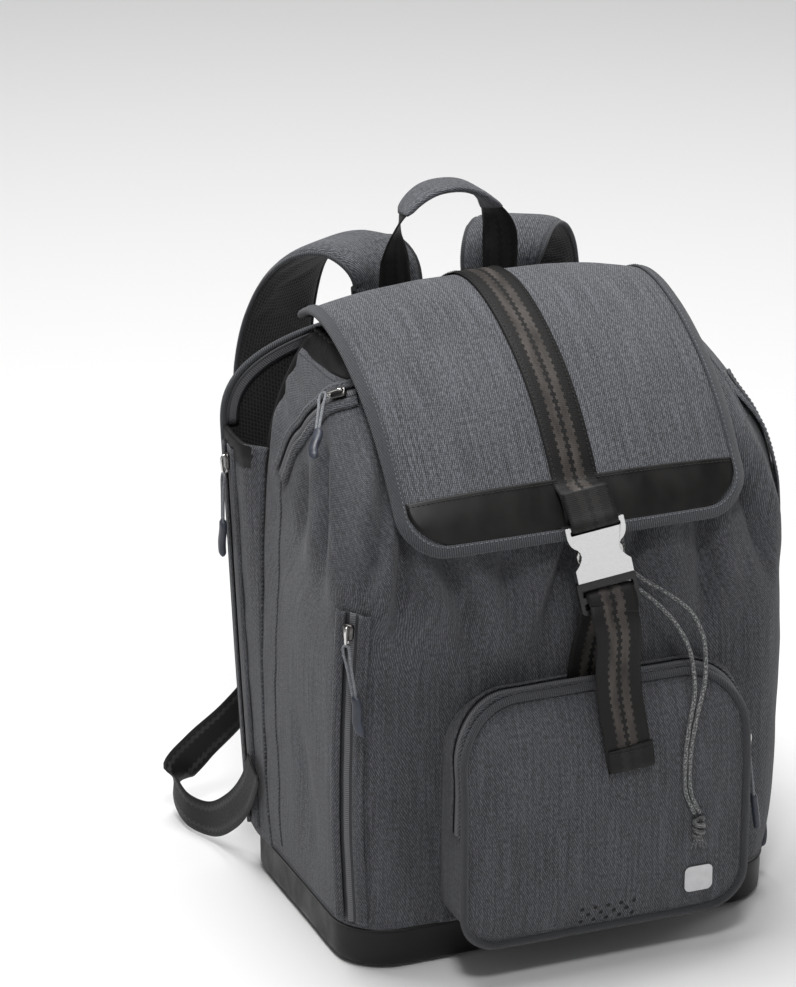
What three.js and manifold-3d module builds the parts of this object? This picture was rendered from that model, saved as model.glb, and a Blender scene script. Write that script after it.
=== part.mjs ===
// Racket backpack: a flap-top rucksack with a racket sleeve behind its main compartment.
// Millimetres, +Z up, front of the bag towards -Y, origin at the middle of its base.
import * as THREE from "three";
import { LoftGeometry } from "three/addons/geometries/LoftGeometry.js";
import { mergeVertices } from "three/addons/utils/BufferGeometryUtils.js";
import Module from "manifold-3d";

const wasm = await Module();
wasm.setup();

// ---- Driving dimensions -------------------------------------------------------------------
const BOOT_HEIGHT = 28; // the wipe-clean base
const GAP = 0.4; // between neighbouring sewn pieces
const FABRIC = 2.5; // padded fabric wall
const CROWN = 5; // how far the front panel bulges at its middle
const WEBBING_WIDTH = 32; // front closure webbing
const WEBBING = 1.6; // its thickness
const CORD_RADIUS = 1.4; // drawcord
const COLLAR_FOOT = 382; // where the grey panels end and the collar starts
const COLLAR_TOP = 394;
const DIVIDER_BASE_Y = 54; // the divider's front face at z = 0
const DIVIDER_LEAN = 0.02; // its change in y per mm of height
const DIVIDER_THICKNESS = 5;
const BACK_BASE_Y = 97; // the back panel's front face at z = 0
const BACK_LEAN = 0.05;
const BACK_THICKNESS = 4;
const SHOULDER_Z = 316; // where the racket sleeve's sides end and its rounded top starts
const SHOULDER_RISE = 66;
const POCKET = { x: 4, halfWidth: 98, foot: 31, top: 194.5, topRadius: 40, footRadius: 24, flare: 15 };
const CREASE = { y: 45, z: 421 }; // the flap folds over about this line
const BUCKLE = { width: 39, foot: -36.5, plugFoot: -58, back: 5.5, front: -6 }; // from its upper end down

// ---- Materials ----------------------------------------------------------------------------
const material = (color, roughness, metalness = 0) =>
  new THREE.MeshStandardMaterial({ color, roughness, metalness });
const twill = material(0x55585f, 0.85);
const boot = material(0x151515, 0.5);
const collarCloth = material(0x1c1c1e, 0.7);
const trimPanel = material(0x242222, 0.55);
const binding = material(0x4d5057, 0.85);
const webbing = material(0x1d1a19, 0.55);
const mesh3d = material(0x2b2b2b, 0.9);
const board = material(0x202020, 0.6);
const satinMetal = material(0xc9cbcd, 0.3, 1);
const darkMetal = material(0x6d6a66, 0.35, 1);
const plastic = material(0x0c0c0c, 0.3);
const rubberGrip = material(0x2f3340, 0.5);
const cordCloth = material(0x6a6c70, 0.8);
const zipTapeCloth = material(0x45474b, 0.8);

// ---- Small tools --------------------------------------------------------------------------
const v = (x, y, z) => new THREE.Vector3(x, y, z);
const lerp = THREE.MathUtils.lerp;
const X_AXIS = v(1, 0, 0);
const Z_AXIS = v(0, 0, 1);

// A smooth curve through [z, value] keys that never overshoots them.
function profile(keys) {
  const slopes = keys.slice(1).map((k, i) => (k[1] - keys[i][1]) / (k[0] - keys[i][0]));
  const tangents = keys.map((_, i) => {
    if (i === 0) return slopes[0];
    if (i === keys.length - 1) return slopes[i - 1];
    const [a, b] = [slopes[i - 1], slopes[i]];
    return a * b <= 0 ? 0 : (2 * a * b) / (a + b);
  });
  return (z) => {
    const clamped = THREE.MathUtils.clamp(z, keys[0][0], keys[keys.length - 1][0]);
    let i = 0;
    while (i < keys.length - 2 && clamped > keys[i + 1][0]) i++;
    const h = keys[i + 1][0] - keys[i][0];
    const t = (clamped - keys[i][0]) / h;
    return (
      (1 + 2 * t) * (1 - t) ** 2 * keys[i][1] +
      t * (1 - t) ** 2 * h * tangents[i] +
      t * t * (3 - 2 * t) * keys[i + 1][1] +
      t * t * (t - 1) * h * tangents[i + 1]
    );
  };
}

// Evenly spaced numbers from a to b, n + 1 of them.
const steps = (a, b, n) => Array.from({ length: n + 1 }, (_, i) => lerp(a, b, i / n));

function signedVolume(geometry) {
  const p = geometry.getAttribute("position");
  const index = geometry.index;
  const [a, b, c] = [v(), v(), v()];
  let sum = 0;
  for (let i = 0; i < index.count; i += 3) {
    a.fromBufferAttribute(p, index.getX(i));
    b.fromBufferAttribute(p, index.getX(i + 1));
    c.fromBufferAttribute(p, index.getX(i + 2));
    sum += a.dot(b.cross(c)) / 6;
  }
  return sum;
}

// A closed solid through a row of sections; a ring's last section is its first.
function loft(sections, ring = false) {
  const rows = ring ? [...sections, sections[0]] : sections;
  const options = { capStart: !ring, capEnd: !ring };
  const made = new LoftGeometry(rows, options);
  if (signedVolume(made) > 0) return made;
  return new LoftGeometry(rows.map((row) => [...row].reverse()), options);
}

// A geometry as a manifold-3d solid, and back.
function toManifold(geometry) {
  const plain = new THREE.BufferGeometry().copy(geometry);
  plain.deleteAttribute("normal");
  plain.deleteAttribute("uv");
  const merged = mergeVertices(plain, 1e-4);
  return new wasm.Manifold(
    new wasm.Mesh({
      numProp: 3,
      vertProperties: new Float32Array(merged.getAttribute("position").array),
      triVerts: new Uint32Array(merged.index.array),
    }),
  );
}

function fromManifold(solid) {
  const made = solid.getMesh();
  return new THREE.BufferGeometry()
    .setAttribute("position", new THREE.BufferAttribute(made.vertProperties, 3))
    .setIndex(new THREE.BufferAttribute(made.triVerts, 1));
}

function cut(geometry, ...tools) {
  const left = tools.reduce((body, tool) => body.subtract(toManifold(tool)), toManifold(geometry));
  return fromManifold(left);
}

function join(...geometries) {
  const [first, ...rest] = geometries.map(toManifold);
  return fromManifold(rest.reduce((whole, piece) => whole.add(piece), first));
}

const backpack = new THREE.Group();
function piece(name, geometry, paint, parent = backpack) {
  const made = new THREE.Mesh(geometry, paint);
  made.name = name;
  parent.add(made);
  return made;
}

// A flat shape in the x, z plane, given a thickness along y from yBack (larger) to yFront.
function extrudeAlongY(shape, yFront, yBack, curveSegments = 6) {
  const options = { depth: yBack - yFront, bevelEnabled: false, curveSegments };
  const made = new THREE.ExtrudeGeometry(shape, options);
  made.rotateX(Math.PI / 2);
  made.translate(0, yBack, 0);
  return made;
}

// A rectangle with its own corner radii: [foot, top].
function roundedShape(x0, z0, x1, z1, footRadius, topRadius = footRadius) {
  const s = new THREE.Shape();
  s.moveTo(x0 + footRadius, z0);
  s.lineTo(x1 - footRadius, z0);
  s.absarc(x1 - footRadius, z0 + footRadius, footRadius, -Math.PI / 2, 0, false);
  s.lineTo(x1, z1 - topRadius);
  s.absarc(x1 - topRadius, z1 - topRadius, topRadius, 0, Math.PI / 2, false);
  s.lineTo(x0 + topRadius, z1);
  s.absarc(x0 + topRadius, z1 - topRadius, topRadius, Math.PI / 2, Math.PI, false);
  s.lineTo(x0, z0 + footRadius);
  s.absarc(x0 + footRadius, z0 + footRadius, footRadius, Math.PI, Math.PI * 1.5, false);
  return s;
}

// Webbing or a pad: a flat band along points, its width along each side vector,
// its thickness starting `lift` above the points on the side of side x tangent.
function band(points, sides, width, thickness, lift = 0, count = 0) {
  const curve = new THREE.CatmullRomCurve3(points, false, "centripetal");
  const sideCurve = new THREE.CatmullRomCurve3(sides, false, "centripetal");
  const n = count || points.length * 3;
  const sections = steps(0, 1, n).map((t) => {
    const centre = curve.getPoint(t);
    const tangent = curve.getTangent(t);
    const wanted = sideCurve.getPoint(t);
    const side = wanted.clone().addScaledVector(tangent, -wanted.dot(tangent)).normalize();
    const up = new THREE.Vector3().crossVectors(side, tangent).normalize();
    const w = typeof width === "function" ? width(t) : width;
    const at = (a, b) => centre.clone().addScaledVector(side, (a * w) / 2).addScaledVector(up, b);
    return [at(-1, lift), at(1, lift), at(1, lift + thickness), at(-1, lift + thickness)];
  });
  return loft(sections);
}

// A round cord along points.
function tube(points, radius, sides, count) {
  const path = new THREE.CatmullRomCurve3(points, false, "centripetal");
  const circle = new THREE.Shape(
    steps(0, 1, sides).slice(0, -1).map((t) => {
      const a = t * Math.PI * 2;
      return new THREE.Vector2(Math.cos(a) * radius, Math.sin(a) * radius);
    }),
  );
  return new THREE.ExtrudeGeometry(circle, { extrudePath: path, steps: count, bevelEnabled: false });
}

// ---- The main compartment's outer surface ---------------------------------------------------
const halfWidth = profile([
  [28, 155], [60, 158], [150, 160], [250, 158], [300, 155], [330, 150], [350, 144], [368, 136],
  [380, 129], [394, 118],
]);
const frontY = profile([
  [28, -91], [60, -94], [250, -99], [292, -96], [312, -90], [330, -81], [345, -70], [358, -57],
  [372, -40], [384, -24], [394, -12],
]);
const cornerRadius = profile([[28, 36], [250, 34], [330, 40], [394, 46]]);
const dividerY = (z) => DIVIDER_BASE_Y + DIVIDER_LEAN * z;
const backY = (z) => BACK_BASE_Y + BACK_LEAN * z;

// station runs round the compartment: 0-1 left side from the divider forwards, 1-2 left corner,
// 2-3 front, 3-4 right corner, 4-5 right side.
function bodyPoint(station, z, inset = 0) {
  const [hx, yf, r, yd] = [halfWidth(z), frontY(z), cornerRadius(z), dividerY(z)];
  const mirror = station > 2.5 ? -1 : 1;
  const s = station > 2.5 ? 5 - station : station;
  let [x, y] = [0, 0];
  if (s <= 1) {
    [x, y] = [-hx + inset, lerp(yd, yf + r, s)];
  } else if (s <= 2) {
    const a = ((s - 1) * Math.PI) / 2;
    [x, y] = [-hx + r - (r - inset) * Math.cos(a), yf + r - (r - inset) * Math.sin(a)];
  } else {
    x = lerp(-hx + r, 0, (s - 2) * 2);
    const fromCorner = Math.sin(((s - 2) * Math.PI));
    y = yf + inset - CROWN * fromCorner * fromCorner;
  }
  return v(mirror * x, y, z);
}

// The outward normal of that surface.
function bodyNormal(station, z) {
  const e = 0.02;
  const along = bodyPoint(station + e, z).sub(bodyPoint(station - e, z));
  const up = bodyPoint(station, z + 1).sub(bodyPoint(station, z - 1));
  return new THREE.Vector3().crossVectors(along, up).normalize();
}

// A fabric wall between two stations and two heights.
function bodyWall(stations, heights, thickness) {
  return loft(
    heights.map((z) => [
      ...stations.map((s) => bodyPoint(s, z)),
      ...[...stations].reverse().map((s) => bodyPoint(s, z, thickness)),
    ]),
  );
}

const SEAM_LEFT = 1.55; // where the side panels meet the front panel
const SEAM_RIGHT = 5 - SEAM_LEFT;
const SEAM_GAP = 0.012; // in stations
const wallHeights = [BOOT_HEIGHT + GAP, 60, 120, 180, 230, 262, 290, 307, 322, 335, 347, 358, 370, COLLAR_FOOT];
const cornerStations = steps(1, SEAM_LEFT - SEAM_GAP, 3);
const sideStations = [...steps(0, 1, 3).slice(0, -1), ...cornerStations];
const frontStations = [
  ...steps(SEAM_LEFT + SEAM_GAP, 2, 3),
  ...steps(2, 3, 8).slice(1, -1),
  ...steps(3, SEAM_RIGHT - SEAM_GAP, 3),
];

piece("left_side_panel", bodyWall(sideStations, wallHeights, FABRIC), twill);
piece("right_side_panel", bodyWall(sideStations.map((s) => 5 - s), wallHeights, FABRIC), twill);
piece("front_panel", bodyWall(frontStations, wallHeights, FABRIC), twill);

// ---- The collar, with its drawcord -----------------------------------------------------------
const ringStations = [
  ...steps(0, 1, 2).slice(0, -1),
  ...steps(1, 2, 5).slice(0, -1),
  ...steps(2, 3, 6).slice(0, -1),
  ...steps(3, 4, 5).slice(0, -1),
  ...steps(4, 5, 2),
];
const COLLAR_WALL = 1.8;

// The collar's own rings: the body's section closed along the divider.
function collarRing(z, inset) {
  const front = ringStations.map((s) => bodyPoint(s, z, inset));
  const back = dividerY(z) - GAP - inset;
  const wide = halfWidth(z) - inset;
  return front.map((p) => v(THREE.MathUtils.clamp(p.x, -wide, wide), Math.min(p.y, back), p.z));
}

// A wall of revolution-like rings, open at both ends: outside up, then inside down.
function ringWall(heights, thickness) {
  const outside = heights.map((z) => collarRing(z, 0));
  const inside = [...heights].reverse().map((z) => collarRing(z, thickness));
  return loft([...outside, ...inside], true);
}

const EYELET = { x: 13, z: 388.2, radius: 5, hole: 3.1, thickness: 1.2 };
const eyeletFlatHalf = halfWidth(EYELET.z) - cornerRadius(EYELET.z);
const eyeletCentre = bodyPoint(2.5 + EYELET.x / (2 * eyeletFlatHalf), EYELET.z);
const eyeletNormal = bodyNormal(2.5, EYELET.z);

function alongNormal(geometry, centre, normal) {
  const turn = new THREE.Quaternion().setFromUnitVectors(Z_AXIS, normal);
  geometry.applyQuaternion(turn);
  geometry.translate(centre.x, centre.y, centre.z);
  return geometry;
}

const holeTool = new THREE.CylinderGeometry(EYELET.hole, EYELET.hole, 16, 12).rotateX(Math.PI / 2);
const eyeletHole = alongNormal(holeTool, eyeletCentre, eyeletNormal);
const collarHeights = [COLLAR_FOOT + GAP, 385, 388, 391, COLLAR_TOP];
piece("neck_collar", cut(ringWall(collarHeights, COLLAR_WALL), eyeletHole), collarCloth);

const eyeletProfile = [
  new THREE.Vector2(EYELET.hole, 0),
  new THREE.Vector2(EYELET.radius, 0),
  new THREE.Vector2(EYELET.radius, EYELET.thickness * 0.6),
  new THREE.Vector2(EYELET.radius - 0.8, EYELET.thickness),
  new THREE.Vector2(EYELET.hole, EYELET.thickness * 0.7),
  new THREE.Vector2(EYELET.hole, 0),
];
const eyelet = new THREE.LatheGeometry(eyeletProfile, 16).rotateX(Math.PI / 2);
piece(
  "drawcord_eyelet",
  alongNormal(eyelet, eyeletCentre.clone().addScaledVector(eyeletNormal, 0.9), eyeletNormal),
  darkMetal,
);

// The hidden run of drawcord lies round the inside of the collar and ends at the eyelet.
const CORD_INSET = COLLAR_WALL + CORD_RADIUS + 2.4;
const hiddenStations = [2.9, 3.1, 3.5, 4, 4.3, 4.7];
const backRun = [0.8, 0.5, 0, -0.5, -0.8].map((k) =>
  v(k * (halfWidth(EYELET.z) - CORD_INSET), dividerY(EYELET.z) - GAP - CORD_INSET - 1, EYELET.z),
);
const neckCordPath = [
  bodyPoint(2.62, EYELET.z, CORD_INSET),
  ...hiddenStations.map((s) => bodyPoint(s, EYELET.z, CORD_INSET)),
  ...backRun,
  ...[...hiddenStations].reverse().map((s) => bodyPoint(5 - s, EYELET.z, CORD_INSET)),
  bodyPoint(2.44, EYELET.z, CORD_INSET),
];
piece("neck_drawcord", tube(neckCordPath, CORD_RADIUS, 6, 44), cordCloth);

// ---- Base --------------------------------------------------------------------------------------
const BOOT_WALL = 3;
const bootBack = backY(BOOT_HEIGHT) + BACK_THICKNESS;
const BOOT_HALF = 155;
const footprint = (inset) =>
  roundedShape(-BOOT_HALF + inset, -91 + inset, BOOT_HALF - inset, bootBack - inset, 36 - inset, 26 - inset);
function slabAlongZ(shape, z0, z1) {
  const options = { depth: z1 - z0, bevelEnabled: false, curveSegments: 6 };
  return new THREE.ExtrudeGeometry(shape, options).translate(0, 0, z0);
}
const bootHollow = slabAlongZ(footprint(BOOT_WALL), BOOT_WALL, BOOT_HEIGHT + 5);
piece("base_boot", cut(slabAlongZ(footprint(0), 0, BOOT_HEIGHT), bootHollow), boot);
const BOARD = { foot: BOOT_WALL + GAP, thickness: 3 };
piece("base_board", slabAlongZ(footprint(BOOT_WALL + 2), BOARD.foot, BOARD.foot + BOARD.thickness), board);

// ---- Racket sleeve -----------------------------------------------------------------------------
const sleeveHalfWidth = profile([[28, 155], [150, 160], [SHOULDER_Z, 165]]);
// A point on the sleeve's outline in x, z: q 0-1 up the left side, 1-2 over the rounded top,
// 2-3 down the right side.
function sleeveOutline(q, inset = 0) {
  const side = q > 1.5 ? 1 : -1;
  const half = q > 1.5 ? 3 - q : q;
  if (half <= 1) {
    const z = lerp(BOOT_HEIGHT + GAP, SHOULDER_Z, half);
    return [side * (sleeveHalfWidth(z) - inset), z];
  }
  const a = (half - 1) * Math.PI; // 0 at the shoulder, half a turn at the middle of the top
  const wide = sleeveHalfWidth(SHOULDER_Z) - inset;
  return [side * wide * Math.cos(a) ** 0.77, SHOULDER_Z + (SHOULDER_RISE - inset) * Math.sin(a) ** 0.77];
}

const outlineShape = (inset, foot) => {
  const left = [...steps(0, 1, 4), ...steps(1.06, 1.44, 6)].map((q) => sleeveOutline(q, inset));
  const right = [...left].reverse().map(([x, z]) => [-x, z]);
  const points = [...left, [0, SHOULDER_Z + SHOULDER_RISE - inset], ...right];
  points[0] = [points[0][0], foot];
  points[points.length - 1] = [-points[0][0], foot];
  return new THREE.Shape(points.map(([x, z]) => new THREE.Vector2(x, z)));
};

// Leans a plate that was made upright at y = 0 onto a line y = base + lean * z.
function leanBack(geometry, base, lean) {
  const shear = new THREE.Matrix4().set(1, 0, 0, 0, 0, 1, lean, base, 0, 0, 1, 0, 0, 0, 0, 1);
  return geometry.applyMatrix4(shear);
}

const PANEL_FOOT = BOOT_HEIGHT + GAP;
piece(
  "back_panel",
  leanBack(extrudeAlongY(outlineShape(0, PANEL_FOOT), 0, BACK_THICKNESS), BACK_BASE_Y, BACK_LEAN),
  mesh3d,
);
const SHEET_THICKNESS = 1.5;
piece(
  "frame_sheet",
  leanBack(
    extrudeAlongY(roundedShape(-132, 40, 132, 335, 20, 60), -GAP - SHEET_THICKNESS, -GAP),
    BACK_BASE_Y,
    BACK_LEAN,
  ),
  board,
);

// The divider fills the compartment's section from side to side, up to the collar.
const dividerHalf = (z) => halfWidth(z);
const dividerHeights = [PANEL_FOOT, 60, 150, 250, 300, 330, 350, 368, 380, 391];
const dividerSide = dividerHeights.map((z) => new THREE.Vector2(dividerHalf(z), z));
const dividerShape = new THREE.Shape([
  ...dividerSide,
  ...[...dividerSide].reverse().map((p) => new THREE.Vector2(-p.x, p.y)),
]);
piece(
  "divider_panel",
  leanBack(extrudeAlongY(dividerShape, GAP, GAP + DIVIDER_THICKNESS), DIVIDER_BASE_Y, DIVIDER_LEAN),
  twill,
);

// The sleeve's gusset joins the divider's edge to the back panel's edge.
const GUSSET = 2.2;
const gussetFront = (z) => dividerY(z) + 2 * GAP + DIVIDER_THICKNESS;
function gussetSection(q) {
  const [x, z] = sleeveOutline(q);
  const [xi, zi] = sleeveOutline(q, GUSSET);
  const [y0, y1] = [gussetFront(z), backY(z) - GAP];
  const middle = (y0 + y1) / 2;
  const bulge = 1.5 * Math.sign(x);
  const outside = [v(x, y0, z), v(x + bulge, middle, z), v(x, y1, z)];
  return [...outside, v(xi, y1, zi), v(xi + bulge, middle, zi), v(xi, y0, zi)];
}
piece("racket_gusset_left", loft(steps(0, 1, 8).map(gussetSection)), twill);
const MOUTH_END = 1.56; // the sleeve's zip is shut from the right side over the top to here
piece("racket_gusset_right", loft([...steps(3, 2, 8), ...steps(1.94, MOUTH_END, 8)].map(gussetSection)), twill);

// ---- Back pads ---------------------------------------------------------------------------------
function pad(x0, x1, z0, z1) {
  const shape = roundedShape(x0 + 3, z0 + 3, x1 - 3, z1 - 3, 18, 26);
  const options = { depth: 5, bevelThickness: 3, bevelSize: 3, bevelSegments: 1, curveSegments: 4 };
  const made = new THREE.ExtrudeGeometry(shape, options);
  made.rotateX(Math.PI / 2);
  made.translate(0, 8 + BACK_THICKNESS + GAP, 0);
  return leanBack(made, BACK_BASE_Y, BACK_LEAN);
}
piece("back_pad_left", pad(-138, -8, 45, 330), mesh3d);
piece("back_pad_right", pad(8, 138, 45, 330), mesh3d);

// ---- Front pocket ------------------------------------------------------------------------------
// The pocket's outline: t 0-1 anticlockwise from the middle of its foot, seen from the front.
const pocketShape = (grow) =>
  roundedShape(
    POCKET.x - POCKET.halfWidth - grow,
    POCKET.foot - grow,
    POCKET.x + POCKET.halfWidth + grow,
    POCKET.top + grow,
    POCKET.footRadius + grow,
    POCKET.topRadius + grow,
  );
const POCKET_SEGMENTS = 5;
const LONGEST_EDGE = 24; // straight runs are divided so that they follow the bulging front
function pocketOutline(grow) {
  const corners = pocketShape(grow).extractPoints(POCKET_SEGMENTS).shape;
  return corners.flatMap((p, i) => {
    const next = corners[(i + 1) % corners.length];
    const count = Math.ceil(p.distanceTo(next) / LONGEST_EDGE);
    return steps(0, 1, count).slice(0, -1).map((t) => p.clone().lerp(next, t));
  });
}

function bodyFrontY(x, z) {
  const flatHalf = halfWidth(z) - cornerRadius(z);
  return bodyPoint(2.5 + x / (2 * flatHalf), z).y;
}

const pocketFront = profile([[31, -134], [60, -137], [130, -137], [165, -133], [196, -122]]);
const outer = pocketOutline(0);
const inner = pocketOutline(-FABRIC);
// The right side flares out towards the bag.
const flareAt = (x) =>
  POCKET.flare * THREE.MathUtils.smoothstep(x, POCKET.x + 40, POCKET.x + POCKET.halfWidth - 10);
piece(
  "pocket_gusset",
  loft(
    outer.map((p, i) => {
      const q = inner[i];
      const spread = flareAt(p.x);
      const outX = p.x + spread;
      const inX = q.x + spread;
      const back = Math.min(bodyFrontY(outX, p.y), bodyFrontY(inX, q.y)) - GAP;
      const front = pocketFront(p.y);
      return [v(outX, back, p.y), v(p.x, front, p.y), v(q.x, front, q.y), v(inX, back, q.y)];
    }),
    true,
  ),
  twill,
);
const FACE_THICKNESS = 3;
const pocketHalfAt = (z) => {
  const { halfWidth: wide, foot, top, footRadius, topRadius } = POCKET;
  const atFoot = z < (foot + top) / 2;
  const [r, into] = atFoot ? [footRadius, foot + footRadius - z] : [topRadius, z - top + topRadius];
  return into <= 0 ? wide : wide - r + Math.sqrt(Math.max(r * r - into * into, 0));
};
const faceHeights = [
  31.4, 33.5, 38, 45, 55, 90, 130, 150, 165, 178, 187, 192, 194.1,
];
piece(
  "pocket_face",
  loft(
    faceHeights.map((z) => {
      const reach = pocketHalfAt(z) - 0.4;
      const xs = [-1, -0.5, 0, 0.5, 1].map((k) => POCKET.x + k * reach);
      const front = pocketFront(z) - GAP;
      const crown = [0, 1.2, 1.6, 1.2, 0];
      return [
        ...xs.map((x, i) => v(x, front - FACE_THICKNESS - crown[i], z)),
        ...[...xs].reverse().map((x) => v(x, front, z)),
      ];
    }),
  ),
  twill,
);
const PIPING_RADIUS = 2;
const pipingLine = pocketOutline(PIPING_RADIUS + GAP + 0.1);
piece(
  "pocket_piping",
  loft(
    pipingLine.map((p, i) => {
      const before = pipingLine[(i + pipingLine.length - 1) % pipingLine.length];
      const after = pipingLine[(i + 1) % pipingLine.length];
      const out = new THREE.Vector2(after.y - before.y, before.x - after.x).normalize();
      return steps(0, 1, 6).slice(0, -1).map((t) => {
        const a = t * Math.PI * 2;
        const reach = Math.cos(a) * PIPING_RADIUS;
        const y = pocketFront(p.y) - 2.5 + Math.sin(a) * PIPING_RADIUS;
        return v(p.x + out.x * reach, y, p.y + out.y * reach);
      });
    }),
    true,
  ),
  binding,
);
const BADGE = { x: 69, z: 55, width: 20, height: 18, thickness: 1.2 };
const badgeBack = pocketFront(BADGE.z) - GAP - FACE_THICKNESS - 1.9;
const [badgeHalf, badgeRise] = [BADGE.width / 2, BADGE.height / 2];
const badgeShape = roundedShape(
  BADGE.x - badgeHalf, BADGE.z - badgeRise, BADGE.x + badgeHalf, BADGE.z + badgeRise, 4,
);
piece("badge", extrudeAlongY(badgeShape, badgeBack - BADGE.thickness, badgeBack), satinMetal);

// ---- Zips --------------------------------------------------------------------------------------
const TAPE = { width: 22, thickness: 1, lift: 1.1 };
const SLIDER = { width: 9, length: 12, height: 4.6 };
const PULL = { width: 6.5, length: 34, thickness: 2, cord: 1.6, drop: 3.4, lead: 1.2 };
const GRIP = { width: 7.5, length: 27, thickness: 5 };

// The slider's side view, pushed through its width: local x across, y along the tape, z outwards.
function sliderGeometry() {
  const half = SLIDER.length / 2;
  const corners = [
    [-half, 0], [half, 0], [half, 2.4], [3.6, 2.8],
    [3, SLIDER.height], [-3, SLIDER.height], [-3.6, 2.8], [-half, 2.4],
  ];
  const side = new THREE.Shape(corners.map(([along, out]) => new THREE.Vector2(along, out)));
  const made = new THREE.ExtrudeGeometry(side, { depth: SLIDER.width, bevelEnabled: false });
  made.translate(0, 0, -SLIDER.width / 2);
  made.applyMatrix4(new THREE.Matrix4().makeBasis(v(0, 1, 0), v(0, 0, 1), v(1, 0, 0)));
  return made;
}

// The pull's cord loop, hanging down -y from the hinge at the local origin.
function pullGeometry() {
  const half = PULL.width / 2;
  const loop = roundedShape(-half, PULL.lead - PULL.length, half, PULL.lead, half - 0.1);
  const [foot, head] = [PULL.lead - PULL.length + PULL.cord, PULL.lead - PULL.cord];
  loop.holes.push(roundedShape(-half + PULL.cord, foot, half - PULL.cord, head, half - PULL.cord - 0.1));
  const options = { depth: PULL.thickness, bevelEnabled: false, curveSegments: 2 };
  return new THREE.ExtrudeGeometry(loop, options).translate(0, 0, -PULL.thickness / 2);
}

function gripGeometry() {
  const half = GRIP.width / 2 - 1;
  const top = PULL.lead - PULL.length - GAP - 1;
  const shape = roundedShape(-half, top - GRIP.length + 2, half, top, half - 0.1);
  const made = new THREE.ExtrudeGeometry(shape, {
    depth: GRIP.thickness - 2, bevelThickness: 1, bevelSize: 1, bevelSegments: 1, curveSegments: 2,
  });
  return made.translate(0, 0, -(GRIP.thickness - 2) / 2);
}

// One slider with its pull, at a point on the tape. up runs along the tape towards the closed end,
// out is the surface's normal, and hang is the way that the pull lies.
function zipSlider(name, at, up, out, hang) {
  const across = new THREE.Vector3().crossVectors(up, out).normalize();
  const trueOut = new THREE.Vector3().crossVectors(across, up).normalize();
  const slider = piece(`${name}_slider`, sliderGeometry(), darkMetal);
  slider.applyMatrix4(new THREE.Matrix4().makeBasis(across, up, trueOut).setPosition(at));
  const pullUp = hang.clone().negate().normalize();
  const pullAcross = new THREE.Vector3().crossVectors(pullUp, trueOut).normalize();
  const pullOut = new THREE.Vector3().crossVectors(pullAcross, pullUp).normalize();
  const hinge = at.clone().addScaledVector(up, -SLIDER.length / 2 - PULL.drop).addScaledVector(trueOut, 2.6);
  const frame = new THREE.Matrix4().makeBasis(pullAcross, pullUp, pullOut).setPosition(hinge);
  piece(`${name}_pull`, pullGeometry(), cordCloth).applyMatrix4(frame);
  piece(`${name}_grip`, gripGeometry(), rubberGrip).applyMatrix4(frame);
}

// A zip tape along [station, z] keys on the main compartment.
function bodyTape(keys, width = TAPE.width) {
  const path = keys.map(([s, z]) => bodyPoint(s, z));
  const sides = keys.map(([s, z], i) => {
    const next = path[Math.min(i + 1, path.length - 1)];
    const last = path[Math.max(i - 1, 0)];
    return new THREE.Vector3().crossVectors(next.clone().sub(last), bodyNormal(s, z)).normalize();
  });
  return band(path, sides, width, TAPE.thickness, TAPE.lift, keys.length * 3);
}

const onTape = (point, normal) => point.clone().addScaledVector(normal, TAPE.lift + TAPE.thickness + 0.4);

// Zip of the side pocket, up the left front corner.
const sideKeys = [[1.39, 34], [1.39, 90], [1.39, 150], [1.4, 205], [1.42, 240], [1.43, 256]];
piece("side_zip_tape", bodyTape(sideKeys, 20), zipTapeCloth);
const sideTop = bodyPoint(1.42, 244);
const sideNormal = bodyNormal(1.42, 244);
const sideUp = bodyPoint(1.42, 244).sub(bodyPoint(1.39, 56)).normalize();
const sideAt = onTape(sideTop, sideNormal).addScaledVector(sideNormal, 3.4);
zipSlider("side_zip", sideAt, sideUp, sideNormal, v(0.1, -0.2, -1));

// Quick-access zip, from under the flap's left edge down and back along the left side.
const accessKeys = [[1.44, 377], [1.15, 371], [0.85, 362], [0.58, 349], [0.36, 331], [0.24, 308]];
piece("access_zip_tape", bodyTape(accessKeys, 18), zipTapeCloth);
const accessTop = bodyPoint(1.26, 373.4);
const accessNormal = bodyNormal(1.26, 373.4);
const accessUp = bodyPoint(1.38, 376).sub(bodyPoint(1.1, 370)).normalize();
const accessHang = bodyPoint(1.3, 338).sub(accessTop).normalize().addScaledVector(accessNormal, 0.3);
const accessAt = onTape(accessTop, accessNormal).addScaledVector(accessNormal, 1.8);
zipSlider("access_zip", accessAt, accessUp, accessNormal, accessHang);

// Zip of the racket sleeve, on the gusset's back edge, drawn down from the open mouth.
const racketTapeQ = steps(0.02, 0.97, 8);
const RACKET_TAPE_INSET = 13; // its middle, forward of the gusset's back edge
const racketPoint = (q) => {
  const [x, z] = sleeveOutline(q);
  return v(x - 1.4, backY(z) - GAP - RACKET_TAPE_INSET, z);
};
piece(
  "racket_zip_tape",
  band(racketTapeQ.map(racketPoint), racketTapeQ.map(() => v(0, -1, 0)), 20, TAPE.thickness, TAPE.lift, 12),
  zipTapeCloth,
);
const racketTop = racketPoint(0.93);
const racketUp = racketPoint(0.93).sub(racketPoint(0.2)).normalize();
zipSlider("racket_zip", racketTop.clone().add(v(-3.1, 0, 0)), racketUp, v(-1, 0, 0), v(-0.01, 0.05, -1));

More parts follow.
